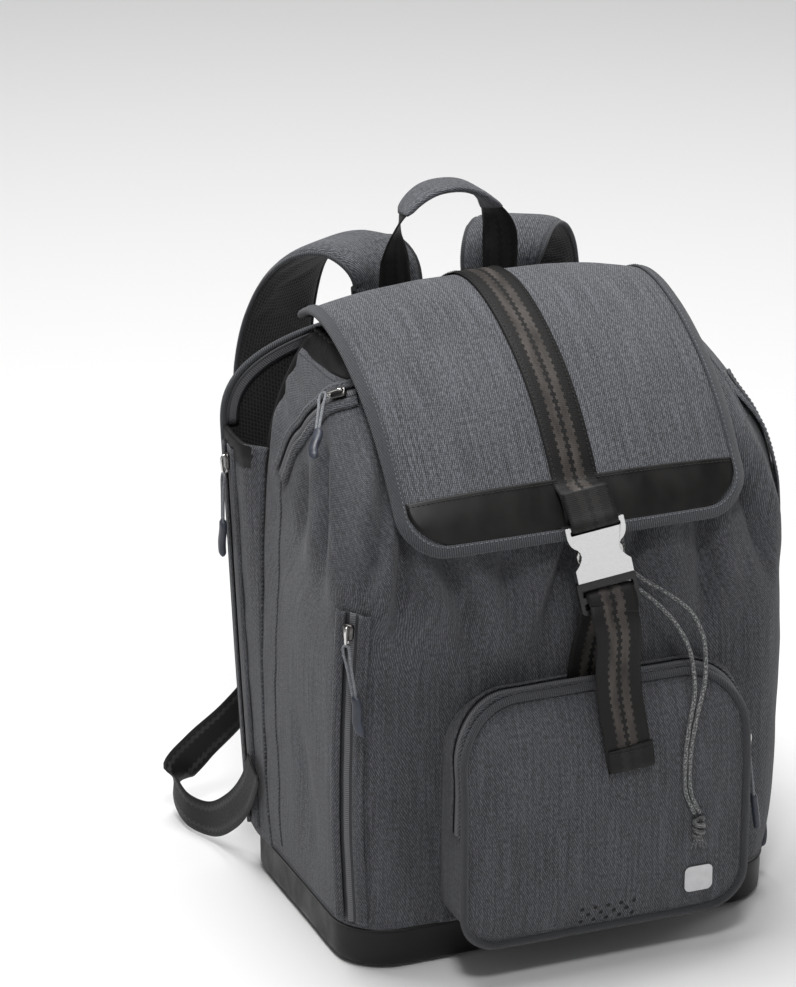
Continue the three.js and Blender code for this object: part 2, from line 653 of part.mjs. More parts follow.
// Zip of the front pocket, round the top of its gusset.
// depth: its middle's distance behind the face; half: its half width; foot: its lower ends
const POCKET_TAPE = { depth: 12, half: 8, foot: 108 };
const gussetX = (x, z, y) => {
  const back = bodyFrontY(x + flareAt(x), z) - GAP;
  return x + flareAt(x) * THREE.MathUtils.clamp((y - pocketFront(z)) / (back - pocketFront(z)), 0, 1);
};
const pocketTapeLine = outer.filter((p) => p.y > POCKET_TAPE.foot + 6);
const pocketRight = pocketTapeLine.filter((p) => p.x > POCKET.x);
const pocketLeft = pocketTapeLine.filter((p) => p.x <= POCKET.x);
const tapeEnd = (side) => new THREE.Vector2(POCKET.x + side * POCKET.halfWidth, POCKET_TAPE.foot);
const pocketTapePath = [tapeEnd(1), ...pocketRight, ...pocketLeft, tapeEnd(-1)];
piece(
  "pocket_zip_tape",
  loft(
    pocketTapePath.map((p, i) => {
      const before = pocketTapePath[Math.max(i - 1, 0)];
      const after = pocketTapePath[Math.min(i + 1, pocketTapePath.length - 1)];
      const out = new THREE.Vector2(after.y - before.y, before.x - after.x).normalize();
      const middle = pocketFront(p.y) + POCKET_TAPE.depth;
      const at = (lift, y) => v(gussetX(p.x, p.y, y) + out.x * lift, y, p.y + out.y * lift);
      const [y0, y1] = [middle - POCKET_TAPE.half, middle + POCKET_TAPE.half - (p.y > 170 ? 4 : 0)];
      return [at(0.9, y0), at(0.9, y1), at(1.9, y1), at(1.9, y0)];
    }),
  ),
  zipTapeCloth,
);
const pocketSliderZ = 141;
const pocketSliderY = pocketFront(pocketSliderZ) + POCKET_TAPE.depth;
const pocketOut = v(0.93, -0.36, 0).normalize();
zipSlider(
  "pocket_zip",
  v(gussetX(POCKET.x + POCKET.halfWidth, pocketSliderZ, pocketSliderY) + 3, pocketSliderY, pocketSliderZ),
  Z_AXIS.clone(), pocketOut, v(0.14, 0.0, -1),
);

// Zip down the right front corner, its slider at the foot.
const rightKeys = [[3.66, 362], [3.78, 340], [3.9, 310], [4.04, 262], [4.1, 180], [4.1, 110], [4.1, 70]];
piece("right_zip_tape", bodyTape(rightKeys, 18), zipTapeCloth);
const rightFoot = bodyPoint(4.1, 86);
const rightNormal = bodyNormal(4.1, 86);
const rightUp = bodyPoint(4.1, 180).sub(rightFoot).normalize();
const rightSlider = piece("right_zip_slider", sliderGeometry(), darkMetal);
const rightAt = onTape(rightFoot, rightNormal).addScaledVector(rightNormal, 0.4);
const rightAcross = new THREE.Vector3().crossVectors(rightUp, rightNormal).normalize();
const rightOut = new THREE.Vector3().crossVectors(rightAcross, rightUp);
rightSlider.applyMatrix4(new THREE.Matrix4().makeBasis(rightAcross, rightUp, rightOut).setPosition(rightAt));
const rightHinge = rightAt.clone().addScaledVector(rightUp, -SLIDER.length / 2 - PULL.drop);
rightHinge.addScaledVector(rightNormal, 2.6);
const rightPullOut = new THREE.Vector3().crossVectors(rightAcross, Z_AXIS);
const rightPull = piece("right_zip_pull", join(pullGeometry(), gripGeometry().translate(0, 1.6, 0)), cordCloth);
rightPull.applyMatrix4(
  new THREE.Matrix4().makeBasis(rightAcross, Z_AXIS, rightPullOut).setPosition(rightHinge),
);

// ---- Flap --------------------------------------------------------------------------------------
// The middle line of the flap's outer face, from the back seam over the top and down the front.
const flapLine = new THREE.CatmullRomCurve3(
  [
    [116, 389.5], [105, 398], [92, 405.5], [78, 413], [62, 419], [CREASE.y, CREASE.z], [18, 417.5],
    [-16, 404.5], [-49, 384], [-73, 361.5], [-94, 335], [-107.5, 316], [-115, 297],
  ].map(([y, z]) => v(0, y, z)),
  false,
  "centripetal",
);
const FLAP = { x: -4, halfWidth: 120, length: flapLine.getLength(), corner: 30, thickness: 2.4 };
const seamToCrease = flapLine.getLengths(200).find((_, i) => flapLine.getPoint(i / 200).y <= CREASE.y);
const flapDroop = profile([[0, 12], [0.2, 12], [0.45, 12], [0.8, 10], [1, 11]]);

// across: distance from the flap's middle line; along: distance from the back seam.
function flapPoint(across, along, lift = 0) {
  const u = THREE.MathUtils.clamp(along / FLAP.length, 0, 1);
  const middle = flapLine.getPointAt(u);
  const tangent = flapLine.getTangentAt(u);
  const out = v(0, tangent.z, -tangent.y).normalize();
  const droop = flapDroop(u) * Math.min(Math.abs(across / FLAP.halfWidth), 1) ** 3.2;
  const beyond = Math.max(along - FLAP.length, 0);
  middle.addScaledVector(tangent, beyond).addScaledVector(out, lift - droop);
  return middle.add(v(FLAP.x + across, 0, 0));
}

// A sheet on the flap through rows at these distances; reach(along) is its half width there.
function flapSheet(rows, reach, lift0, lift1, from = -1, to = 1) {
  const ks = [-1, -0.92, -0.8, -0.6, -0.3, 0, 0.3, 0.6, 0.8, 0.92, 1].map((k) => lerp(from, to, (k + 1) / 2));
  return loft(
    rows.map((along) => {
      const wide = reach(along);
      return [
        ...ks.map((k) => flapPoint(k * wide, along, lift0)),
        ...[...ks].reverse().map((k) => flapPoint(k * wide, along, lift1)),
      ];
    }),
  );
}
const CREASE_GAP = 1;
const YOKE_CORNER = { in: 36, along: 52 }; // its back corners are cut back in a quarter ellipse
const yokeReach = (along) => {
  const into = Math.max(1 - along / YOKE_CORNER.along, 0);
  return FLAP.halfWidth - YOKE_CORNER.in * (1 - Math.sqrt(1 - into * into));
};
const yokeRows = [0, 4, 12, 24, 38, 52, seamToCrease - CREASE_GAP];
piece("flap_yoke", flapSheet(yokeRows, yokeReach, -FLAP.thickness, 0), twill);

// The flap's front corners are rounded.
const cornerStart = FLAP.length - FLAP.corner;
const reachAt = (along) => {
  const into = Math.max(along - cornerStart, 0);
  return FLAP.halfWidth - FLAP.corner + Math.sqrt(Math.max(FLAP.corner ** 2 - into ** 2, 0));
};
const cornerRows = [0.25, 0.5, 0.7, 0.85, 0.95, 0.995].map((k) => cornerStart + k * FLAP.corner);
piece(
  "flap_panel",
  flapSheet([...steps(seamToCrease + CREASE_GAP, cornerStart, 9), ...cornerRows], reachAt, -FLAP.thickness, 0),
  twill,
);

// The black band stands across the flap's front, in two halves beside the webbing.
const TRIM = { from: FLAP.length - 39, to: FLAP.length - 11, inset: 10 };
const trimReach = (along) => Math.min(FLAP.halfWidth, reachAt(along + 8)) - TRIM.inset;
const trimRows = [TRIM.from, TRIM.from + 10, TRIM.from + 18, TRIM.from + 24, TRIM.to];
const strapShare = (WEBBING_WIDTH / 2 + 2) / (FLAP.halfWidth - TRIM.inset);
piece("flap_band_left", flapSheet(trimRows, trimReach, 0.4, 1.2, -1, -strapShare), trimPanel);
piece("flap_band_right", flapSheet(trimRows, trimReach, 0.4, 1.2, strapShare, 1), trimPanel);

// A bound edge runs down one side, round both corners and up the other side.
const BIND = { width: 8, over: 1, clear: 1.7, start: seamToCrease + 6 };
const cornerArc = (side) =>
  steps(0, 1, 6).map((t) => {
    const a = (side < 0 ? t : 1 - t) * (Math.PI / 2);
    return [side * Math.cos(a), Math.sin(a), cornerStart, FLAP.corner];
  });
const sideRun = (side) => steps(BIND.start, cornerStart - 4, 8).map((along) => [side, 0, along, 0]);
const footRun = [-0.6, -0.3, 0, 0.3, 0.6].map((k) => [k, 1, cornerStart, -1]);
const bindLine = [...sideRun(-1), ...cornerArc(-1), ...footRun, ...cornerArc(1), ...sideRun(1).reverse()];
function bindPoint([dirX, dirAlong, along, radius], inset, lift) {
  const flatHalf = FLAP.halfWidth - FLAP.corner;
  if (radius === 0) return flapPoint(dirX * (FLAP.halfWidth - inset), along, lift);
  if (radius < 0) return flapPoint(dirX * flatHalf, FLAP.length - inset, lift);
  return flapPoint(
    Math.sign(dirX || 1) * flatHalf + dirX * (radius - inset), along + dirAlong * (radius - inset), lift,
  );
}
piece(
  "flap_binding",
  loft(
    bindLine.map((at) => [
      bindPoint(at, BIND.width, 0.4),
      bindPoint(at, -BIND.clear, 0.4),
      bindPoint(at, -BIND.clear, -FLAP.thickness),
      bindPoint(at, -BIND.clear - BIND.over, -FLAP.thickness),
      bindPoint(at, -BIND.clear - BIND.over, 1.5),
      bindPoint(at, BIND.width, 1.5),
    ]),
  ),
  binding,
);
piece(
  "flap_strap",
  flapSheet(steps(seamToCrease + 2, FLAP.length - 13, 14), () => WEBBING_WIDTH / 2, 1.6, 1.6 + WEBBING),
  webbing,
);

// ---- Side-release buckle -----------------------------------------------------------------------
// It leans forwards and a little sideways with the webbing: x across, y backwards, z up along the webbing.
const buckle = new THREE.Group();
const alongWebbing = v(-0.137, 0.25, 0.958).normalize();
const roughlyAcross = v(0.975, -0.14, 0.17);
const acrossWebbing = roughlyAcross.addScaledVector(alongWebbing, -roughlyAcross.dot(alongWebbing)).normalize();
const intoWebbing = new THREE.Vector3().crossVectors(alongWebbing, acrossWebbing);
const buckleFrame = new THREE.Matrix4().makeBasis(acrossWebbing, intoWebbing, alongWebbing);
buckle.applyMatrix4(buckleFrame.setPosition(v(-3, -123.2, 310)));
backpack.add(buckle);

const shellHalf = BUCKLE.width / 2;
const WAIST = { x: 10.5, z: -19 }; // where the thumb buttons show
const shell = new THREE.Shape();
shell.moveTo(-shellHalf, 0);
shell.lineTo(-shellHalf, -7);
shell.quadraticCurveTo(-shellHalf + 1, -13, -shellHalf + 5, -15);
shell.quadraticCurveTo(-WAIST.x, WAIST.z, -shellHalf + 4, -25);
shell.lineTo(-shellHalf + 1, -28);
shell.lineTo(-shellHalf + 1, BUCKLE.foot);
shell.lineTo(shellHalf - 1, BUCKLE.foot);
shell.lineTo(shellHalf - 1, -28);
shell.lineTo(shellHalf - 4, -25);
shell.quadraticCurveTo(WAIST.x, WAIST.z, shellHalf - 5, -15);
shell.quadraticCurveTo(shellHalf - 1, -13, shellHalf, -7);
shell.lineTo(shellHalf, 0);
shell.holes.push(roundedShape(-WEBBING_WIDTH / 2 - 0.5, -5.5, WEBBING_WIDTH / 2 + 0.5, -2.5, 1));
const SHELL_WALL = 1.6;
const SOCKET = { width: BUCKLE.width - 6, top: -11 };
// The socket is open behind and below, so the shell lifts off the plug with the flap.
const socket = new THREE.BoxGeometry(SOCKET.width, 12, SOCKET.top - BUCKLE.foot + 2).translate(
  0, BUCKLE.front + SHELL_WALL + 6, (SOCKET.top + BUCKLE.foot) / 2 - 1,
);
piece("buckle_housing", cut(extrudeAlongY(shell, BUCKLE.front, BUCKLE.back, 4), socket), satinMetal, buckle);

// The plug: a ladder that the webbing threads, and a tongue between the two sprung arms.
const PLUG = { top: BUCKLE.foot - 0.5, front: -3.6, back: 3.6 };
const ladder = roundedShape(-shellHalf, BUCKLE.plugFoot, shellHalf, PLUG.top, 3, 2);
ladder.holes.push(roundedShape(-17, BUCKLE.plugFoot + 3, 17, BUCKLE.plugFoot + 7.5, 1));
ladder.holes.push(roundedShape(-17, BUCKLE.plugFoot + 11.5, 17, BUCKLE.plugFoot + 16, 1));
const tongue = new THREE.BoxGeometry(7, 4, 20).translate(0, 0, PLUG.top + 9);
piece("buckle_plug", join(extrudeAlongY(ladder, PLUG.front, PLUG.back, 3), tongue), plastic, buckle);

// Each arm stands on the plug and carries the button that shows at the shell's waist.
const ARM = { x: 10.5, foot: PLUG.top + 1.2, button: -19.5, tip: -13.5, front: -2.6, back: 2.6 };
function armGeometry(side) {
  const outline = new THREE.Shape();
  const at = (dx, z) => [side * (ARM.x + dx), z];
  outline.moveTo(...at(-1.4, ARM.foot));
  outline.lineTo(...at(1.4, ARM.foot));
  outline.lineTo(...at(1.6, -27));
  outline.quadraticCurveTo(...at(5.4, -25), ...at(4.8, ARM.button));
  outline.lineTo(...at(1.2, ARM.tip));
  outline.lineTo(...at(-1.2, ARM.tip));
  outline.lineTo(...at(-1.4, ARM.button));
  return extrudeAlongY(outline, ARM.front, ARM.back, 3);
}
piece("buckle_arm_left", armGeometry(-1), plastic, buckle);
piece("buckle_arm_right", armGeometry(1), plastic, buckle);

// ---- Closure webbing on the bag ----------------------------------------------------------------
piece(
  "anchor_strap",
  band(
    [
      v(4, -107.8, 200), v(4.5, -109.5, 212), v(5, -115, 228),
      v(5, -121, 240), v(4.5, -126, 252), v(4, -126.8, 258),
    ],
    Array(6).fill(X_AXIS),
    WEBBING_WIDTH - 1, WEBBING, 0, 9,
  ),
  webbing,
);
piece(
  "strap_tail",
  band(
    [
      v(3.5, -144.2, 256), v(5.5, -145.6, 247), v(7.5, -144.4, 236), v(8, -142.6, 214),
      v(10, -142.2, 192), v(13.5, -143, 170), v(17.5, -143.4, 146),
    ],
    Array(7).fill(v(1, 0, 0.06)),
    WEBBING_WIDTH, WEBBING, -WEBBING, 18,
  ),
  webbing,
);

// ---- Drawcord ends -----------------------------------------------------------------------------
// Both ends come out of the eyelet, run down behind the flap, pass beside the buckle and hang to one knot.
const CORD_REST = CORD_RADIUS + 0.8; // the cord's middle in front of the panel
const onFront = (x, z, clear = 0) => [x, bodyFrontY(x, z) - CORD_REST - clear, z];
const cordRight = [
  [14.9, eyeletCentre.y - 6.2, EYELET.z - 1.8], onFront(16.5, 375, 1.6), onFront(18, 362, 1),
  onFront(20, 347), onFront(23, 325), onFront(25.5, 303), onFront(27.5, 284), onFront(29.5, 269),
  [38, -109.5, 260], [55, -114, 248], [69, -119, 236], [76.5, -124, 220], [77, -128.5, 206],
  [74.5, -133.5, 190], [67, -139.5, 171], [60.9, -143.8, 149], [61.1, -144.4, 119], [67.8, -144.4, 103],
];
const cordLeft = [
  [11.1, eyeletCentre.y - 6.2, EYELET.z - 1.8], onFront(12.5, 375, 1.6), onFront(14, 362, 1),
  onFront(16, 347), onFront(19, 325), onFront(21.5, 303), onFront(23.5, 284), onFront(25.3, 266),
  [33, -110.5, 256], [46.5, -116.5, 243.5], [58.5, -121, 229], [65.5, -126, 214], [67.5, -130, 201],
  [66.5, -135.5, 183], [61, -140.6, 166], [57.4, -143.8, 149], [57.6, -144.4, 119], [64.4, -144.4, 103],
];
const CORD_STEPS = 42;
piece("drawcord_right", tube(cordRight.map((p) => v(...p)), CORD_RADIUS, 8, CORD_STEPS), cordCloth);
piece("drawcord_left", tube(cordLeft.map((p) => v(...p)), CORD_RADIUS, 8, CORD_STEPS), cordCloth);
const KNOT = { x: 66.6, y: -147, z: 93 };
const knot = new THREE.SphereGeometry(1, 12, 8).scale(4.6, 4.2, 8.6);
piece("drawcord_knot", knot.translate(KNOT.x, KNOT.y, KNOT.z), cordCloth);

// ---- Carry handle ------------------------------------------------------------------------------
const handlePath = [
  [-38, 122.4, 388], [-38.5, 122.6, 412], [-37, 123, 430], [-29, 125, 447], [-15, 126.5, 457], [0, 127, 459.5],
  [15, 126.5, 457], [29, 125, 447], [37, 123, 430], [38.5, 122.6, 412], [38, 122.4, 388],
].map((p) => v(...p));
const handleSides = handlePath.map((_, i) => {
  const towardsTop = 1 - Math.abs(i - 5) / 5;
  const turn = THREE.MathUtils.smoothstep(towardsTop, 0, 0.75) * (Math.PI / 2);
  const sign = i > 5 ? -1 : 1;
  return v(Math.cos(turn) * sign, Math.sin(turn), 0);
});
piece("handle_webbing", band(handlePath, handleSides, 24, 1.6, -0.8, 30), webbing);

// ---- Shoulder straps and their lower webbing ----------------------------------------------------
const padPath = [
  [40, 130.5, 386], [42, 133, 402], [50, 139, 413], [62, 153, 418], [75, 169, 412], [87, 183, 393],
  [95, 192, 362], [100, 193, 325], [102, 187, 285], [103, 177, 245], [103, 167, 207],
];
const padSides = [
  [1, 0, 0], [1, -0.12, 0], [1, -0.35, 0], [1, -0.55, 0], [1, -0.6, 0], [1, -0.5, 0],
  [1, -0.35, 0], [1, -0.2, 0], [1, -0.1, 0], [1, 0, 0], [1, 0, 0],
];
const padWidth = profile([[0, 50], [0.15, 56], [0.4, 62], [0.75, 58], [1, 40]]);
const lowerPath = [
  [103, 156.5, 168], [104, 158, 148], [111, 162, 122], [124, 168, 98], [143, 173, 74], [165, 181, 50],
  [180, 185, 29], [181, 163, 17], [172, 136, 17], [166.5, 105, 36], [163.8, 80, 62], [163.4, 68, 84],
];
const lowerSides = [
  [1, 0, 0], [1, 0, 0.1], [0.9, -0.2, 0.4], [0.7, -0.2, 0.7], [0.4, -0.1, 0.9], [0.1, 0, 1],
  [0, 0, 1], [0, 0, 1], [0, 0.1, 1], [0, 0.4, 1], [0, 0.8, 1], [0, 1, 0.6],
];
const mirrorX = (list, side) => list.map(([x, y, z]) => v(side * x, y, z));
const LOWER_WIDTH = 25;
for (const [label, side] of [["left", -1], ["right", 1]]) {
  const sides = padSides.map(([x, y, z]) => v(x, side * y, side * z));
  piece(`shoulder_strap_${label}`, band(mirrorX(padPath, side), sides, padWidth, 10, -5, 24), twill);
  const x0 = side * 103;
  const lockShape = roundedShape(x0 - 17, 172, x0 + 17, 196, 3);
  lockShape.holes.push(roundedShape(x0 - 13.5, 175, x0 + 13.5, 179.5, 1));
  lockShape.holes.push(roundedShape(x0 - 13.5, 182.5, x0 + 13.5, 187, 1));
  piece(`ladder_lock_${label}`, extrudeAlongY(lockShape, 152, 156, 3), plastic);
  const lowSides = lowerSides.map(([x, y, z]) => v(x, side * y, side * z));
  const lowWeb = band(mirrorX(lowerPath, side), lowSides, LOWER_WIDTH, 1.6, -0.8, 32);
  piece(`lower_webbing_${label}`, lowWeb, webbing);
}

export default backpack;
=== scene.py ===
"""The racket backpack's look. Lengths are millimetres until a mesh is made, in the frame's axes."""

import math

import bpy
import numpy as np
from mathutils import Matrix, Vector, noise


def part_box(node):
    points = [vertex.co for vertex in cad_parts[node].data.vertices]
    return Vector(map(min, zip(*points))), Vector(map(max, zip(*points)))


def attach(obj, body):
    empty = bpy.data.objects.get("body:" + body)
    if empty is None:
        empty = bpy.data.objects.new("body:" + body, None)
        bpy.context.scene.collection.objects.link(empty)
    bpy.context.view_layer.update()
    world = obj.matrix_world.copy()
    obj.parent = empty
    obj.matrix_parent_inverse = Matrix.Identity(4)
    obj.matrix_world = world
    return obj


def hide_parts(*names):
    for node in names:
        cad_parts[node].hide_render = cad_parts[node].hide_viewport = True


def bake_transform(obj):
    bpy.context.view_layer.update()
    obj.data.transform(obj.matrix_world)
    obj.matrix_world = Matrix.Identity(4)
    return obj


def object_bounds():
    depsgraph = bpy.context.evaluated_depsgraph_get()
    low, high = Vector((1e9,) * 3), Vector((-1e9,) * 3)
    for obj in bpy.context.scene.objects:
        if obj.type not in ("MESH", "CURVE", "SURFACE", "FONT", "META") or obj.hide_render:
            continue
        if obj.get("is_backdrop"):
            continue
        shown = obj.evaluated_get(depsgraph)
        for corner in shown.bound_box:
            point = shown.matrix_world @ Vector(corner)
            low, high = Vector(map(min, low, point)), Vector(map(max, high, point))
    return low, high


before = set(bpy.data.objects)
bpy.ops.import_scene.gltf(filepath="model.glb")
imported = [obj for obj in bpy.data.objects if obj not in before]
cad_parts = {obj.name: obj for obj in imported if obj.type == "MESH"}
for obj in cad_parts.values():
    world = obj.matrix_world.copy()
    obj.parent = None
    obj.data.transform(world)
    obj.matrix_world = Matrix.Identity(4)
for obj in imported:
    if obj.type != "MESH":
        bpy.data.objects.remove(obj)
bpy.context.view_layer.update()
MM = 0.001

# ---- Camera -------------------------------------------------------------------------------------
TARGET = Vector((-0.0855, 0.0, 0.2961))
AZIMUTH, ELEVATION, DISTANCE, LENS = -21.99, 21.27, 2.798, 156.7
azimuth, elevation = math.radians(AZIMUTH), math.radians(ELEVATION)
away = Vector((math.sin(azimuth) * math.cos(elevation), -math.cos(azimuth) * math.cos(elevation),
    math.sin(elevation)))
camera = bpy.data.objects.new("camera", bpy.data.cameras.new("camera"))
camera.location = TARGET + away * DISTANCE
camera.rotation_mode = "QUATERNION"
camera.rotation_quaternion = (-away).to_track_quat("-Z", "Y")
camera.data.lens = LENS
camera.data.sensor_width = 36
bpy.context.scene.collection.objects.link(camera)
bpy.context.scene.camera = camera
bpy.context.scene.view_settings.view_transform = "Standard"


# ---- Small tools --------------------------------------------------------------------------------
def lerp(a, b, t):
    return a + (b - a) * t


def smoothstep(x, low, high):
    t = min(max((x - low) / (high - low), 0), 1)
    return t * t * (3 - 2 * t)


def unit(vector):
    return np.asarray(vector, float) / max(np.linalg.norm(vector), 1e-9)


def profile(keys):
    """A smooth curve through (place, value) keys that never overshoots them."""
    places, values = zip(*keys)
    slopes = [(values[i + 1] - values[i]) / (places[i + 1] - places[i]) for i in range(len(keys) - 1)]
    inner = [0 if a * b <= 0 else 2 * a * b / (a + b) for a, b in zip(slopes, slopes[1:])]
    tangents = [slopes[0], *inner, slopes[-1]]

    def at(place):
        place = min(max(place, places[0]), places[-1])
        i = 0
        while i < len(keys) - 2 and place > places[i + 1]:
            i += 1
        h = places[i + 1] - places[i]
        t = (place - places[i]) / h
        start = (1 + 2 * t) * (1 - t) ** 2 * values[i] + t * (1 - t) ** 2 * h * tangents[i]
        return start + t * t * (3 - 2 * t) * values[i + 1] + t * t * (t - 1) * h * tangents[i + 1]

    return at


def line(points, count):
    """count points, evenly spaced along a smooth line through these."""
    p = np.array(points, float)
    p = np.vstack([2 * p[0] - p[1], p, 2 * p[-1] - p[-2]])
    knots = np.concatenate([[0], np.cumsum(np.linalg.norm(np.diff(p, axis=0), axis=1) ** 0.5)])
    fine = []
    for i in range(1, len(p) - 2):
        for s in np.linspace(knots[i], knots[i + 1], 24, endpoint=False):
            share = [(s - knots[i - 1 + k]) / (knots[i + k] - knots[i - 1 + k]) for k in range(3)]
            a = [lerp(p[i - 1 + k], p[i + k], share[k]) for k in range(3)]
            b = [lerp(a[k], a[k + 1], (s - knots[i - 1 + k]) / (knots[i + 1 + k] - knots[i - 1 + k]))
                for k in range(2)]
            fine.append(lerp(b[0], b[1], (s - knots[i]) / (knots[i + 1] - knots[i])))
    fine = np.array([*fine, p[-2]])
    return spaced(fine, count)


def spaced(points, count):
    """count points, evenly spaced along this polyline."""
    points = np.asarray(points, float)
    run = np.concatenate([[0], np.cumsum(np.linalg.norm(np.diff(points, axis=0), axis=1))])
    places = np.linspace(0, run[-1], count)
    return np.stack([np.interp(places, run, points[:, k]) for k in range(points.shape[1])], 1)


def sides_along(keys, side_keys, count):
    """The side vectors at count places along a path through keys, each key with its own side."""
    keys, side_keys = np.asarray(keys, float), np.asarray(side_keys, float)
    run = np.concatenate([[0], np.cumsum(np.linalg.norm(np.diff(keys, axis=0), axis=1))])
    places = np.linspace(0, run[-1], count)
    return np.stack([np.interp(places, run, side_keys[:, k]) for k in range(3)], 1)


def length_of(points):
    return float(np.linalg.norm(np.diff(np.asarray(points, float), axis=0), axis=1).sum())


def wobble(x, y, z, size, seed=0.0):
    """Smooth noise from -1 to 1 whose lumps are about this size."""
    return noise.noise(Vector((x / size + seed, y / size - seed, z / size + 2 * seed)))


# ---- Meshes -------------------------------------------------------------------------------------
def new_object(name, points, faces, loops, paint, body, stands_for):
    mesh = bpy.data.meshes.new(name)
    mesh.from_pydata((np.asarray(points) * MM).tolist(), [], faces)
    weave = mesh.uv_layers.new(name="weave")
    weave.data.foreach_set("uv", (np.asarray(loops, np.float32) * MM).ravel())
    mesh.polygons.foreach_set("use_smooth", [True] * len(faces))
    for each in paint if isinstance(paint, (list, tuple)) else [paint]:
        mesh.materials.append(each)
    made = bpy.data.objects.new(name, mesh)
    bpy.context.scene.collection.objects.link(made)
    if body:
        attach(made, body)
    if stands_for:
        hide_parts(*stands_for)
    return made


def distances(points, axis):
    """How far along each row or column a grid's points are, from its middle."""
    run = np.cumsum(np.linalg.norm(np.diff(points, axis=axis), axis=2), axis=axis)
    run = np.concatenate([np.zeros_like(run.take([0], axis)), run], axis)
    return run - run.take([-1], axis) / 2


def grid(name, rows, paint, body="bag", stands_for=(), around=False, looped=False, capped=False,
         thickness=0.0, proud=0.0, middle=(0, 0, 200), across=None):
    """A surface through rows of points. around closes each row, looped joins the last row to the first.
    across gives each point's place across the weave, where the distance along its row would not do.
    proud is the share of the thickness outside the points. Faces look away from middle."""
    rows = np.asarray(rows, float)
    m, n = rows.shape[:2]
    full = np.concatenate([rows, rows[:, :1]], 1) if around else rows
    full = np.concatenate([full, full[:1]], 0) if looped else full
    u, v = distances(full, 1), distances(full, 0)
    if across is not None:
        u = np.concatenate([across, np.asarray(across)[:, :1]], 1)
    normals = np.cross(full[:-1, 1:] - full[:-1, :-1], full[1:, :-1] - full[:-1, :-1])
    centre = full.reshape(-1, 3).mean(0) if around and not looped else np.array(middle, float)
    if around:
        core = full.mean(1, keepdims=True)[:-1]
        turn = float((normals * (full[:-1, :-1] - core)).sum()) < 0
    else:
        turn = float((normals * (full[:-1, :-1] - centre)).sum()) < 0
    faces, loops = [], []
    for i in range(full.shape[0] - 1):
        for j in range(full.shape[1] - 1):
            corners = [(i, j), (i, j + 1), (i + 1, j + 1), (i + 1, j)]
            if turn:
                corners.reverse()
            faces.append([a % m * n + b % n for a, b in corners])
            loops += [(u[a, b], v[a, b]) for a, b in corners]
    if capped:
        for row, back in ((0, not turn), (m - 1, turn)):
            ring = list(range(row * n, row * n + n))
            ring = ring[::-1] if back else ring
            faces.append(ring)
            loops += [(u[0, k % n], 0.0) for k in range(n)]
    made = new_object(name, rows.reshape(-1, 3), faces, loops, paint, body, stands_for)
    if thickness:
        solid = made.modifiers.new("thickness", "SOLIDIFY")
        solid.thickness = thickness * MM
        solid.offset = 2 * proud - 1
        solid.use_even_offset = False
    return made


def frames(path, sides=None):
    """Tangent, side and up vectors along a path. Without sides, the frame turns as little as it can."""
    tangents = np.gradient(path, axis=0)
    tangents /= np.linalg.norm(tangents, axis=1, keepdims=True)
    made = []
    side = np.cross(tangents[0], (0, 0, 1)) if abs(tangents[0][2]) < 0.9 else np.array((1.0, 0, 0))
    for i, tangent in enumerate(tangents):
        side = sides[i] if sides is not None else side
        side = unit(side - tangent * np.dot(side, tangent))
        made.append((tangent, side, np.cross(side, tangent)))
    return made


def tube(name, path, radius, paint, body="bag", stands_for=(), sides=12, looped=False):
    path = np.asarray(path, float)
    reach = radius if callable(radius) else lambda t: radius
    rows = []
    for i, (_, side, up) in enumerate(frames(path)):
        r = reach(i / (len(path) - 1))
        turns = [2 * math.pi * k / sides for k in range(sides)]
        rows.append([path[i] + side * r * math.cos(a) + up * r * math.sin(a) for a in turns])
    return grid(name, rows, paint, body, stands_for, around=True, looped=looped, capped=not looped)


EDGE_PULL = 0.35


def ribbon(name, path, side_keys, width, thickness, paint, body="bag", stands_for=(), lift=0.0, count=60,
           columns=9):
    """Webbing: its width lies along side_keys, its thickness from lift along side x tangent. Each edge thins
    by the share EDGE_PULL on both faces."""
    middle = line(path, count)
    sides = sides_along(path, side_keys, count)
    half = width / 2
    rows, places = [], []
    for i, (_, side, up) in enumerate(frames(middle, sides)):
        across = np.linspace(-1, 1, columns)
        pull = EDGE_PULL * thickness * np.abs(across) ** 8
        front = list(zip(across * half, lift + thickness - pull))
        back = list(zip(across[::-1] * half, lift + pull[::-1]))
        rows.append([middle[i] + side * x + up * z for x, z in front + back])
        places.append([x for x, _ in front + back])
    return grid(name, rows, paint, body, stands_for, around=True, capped=True, across=places)


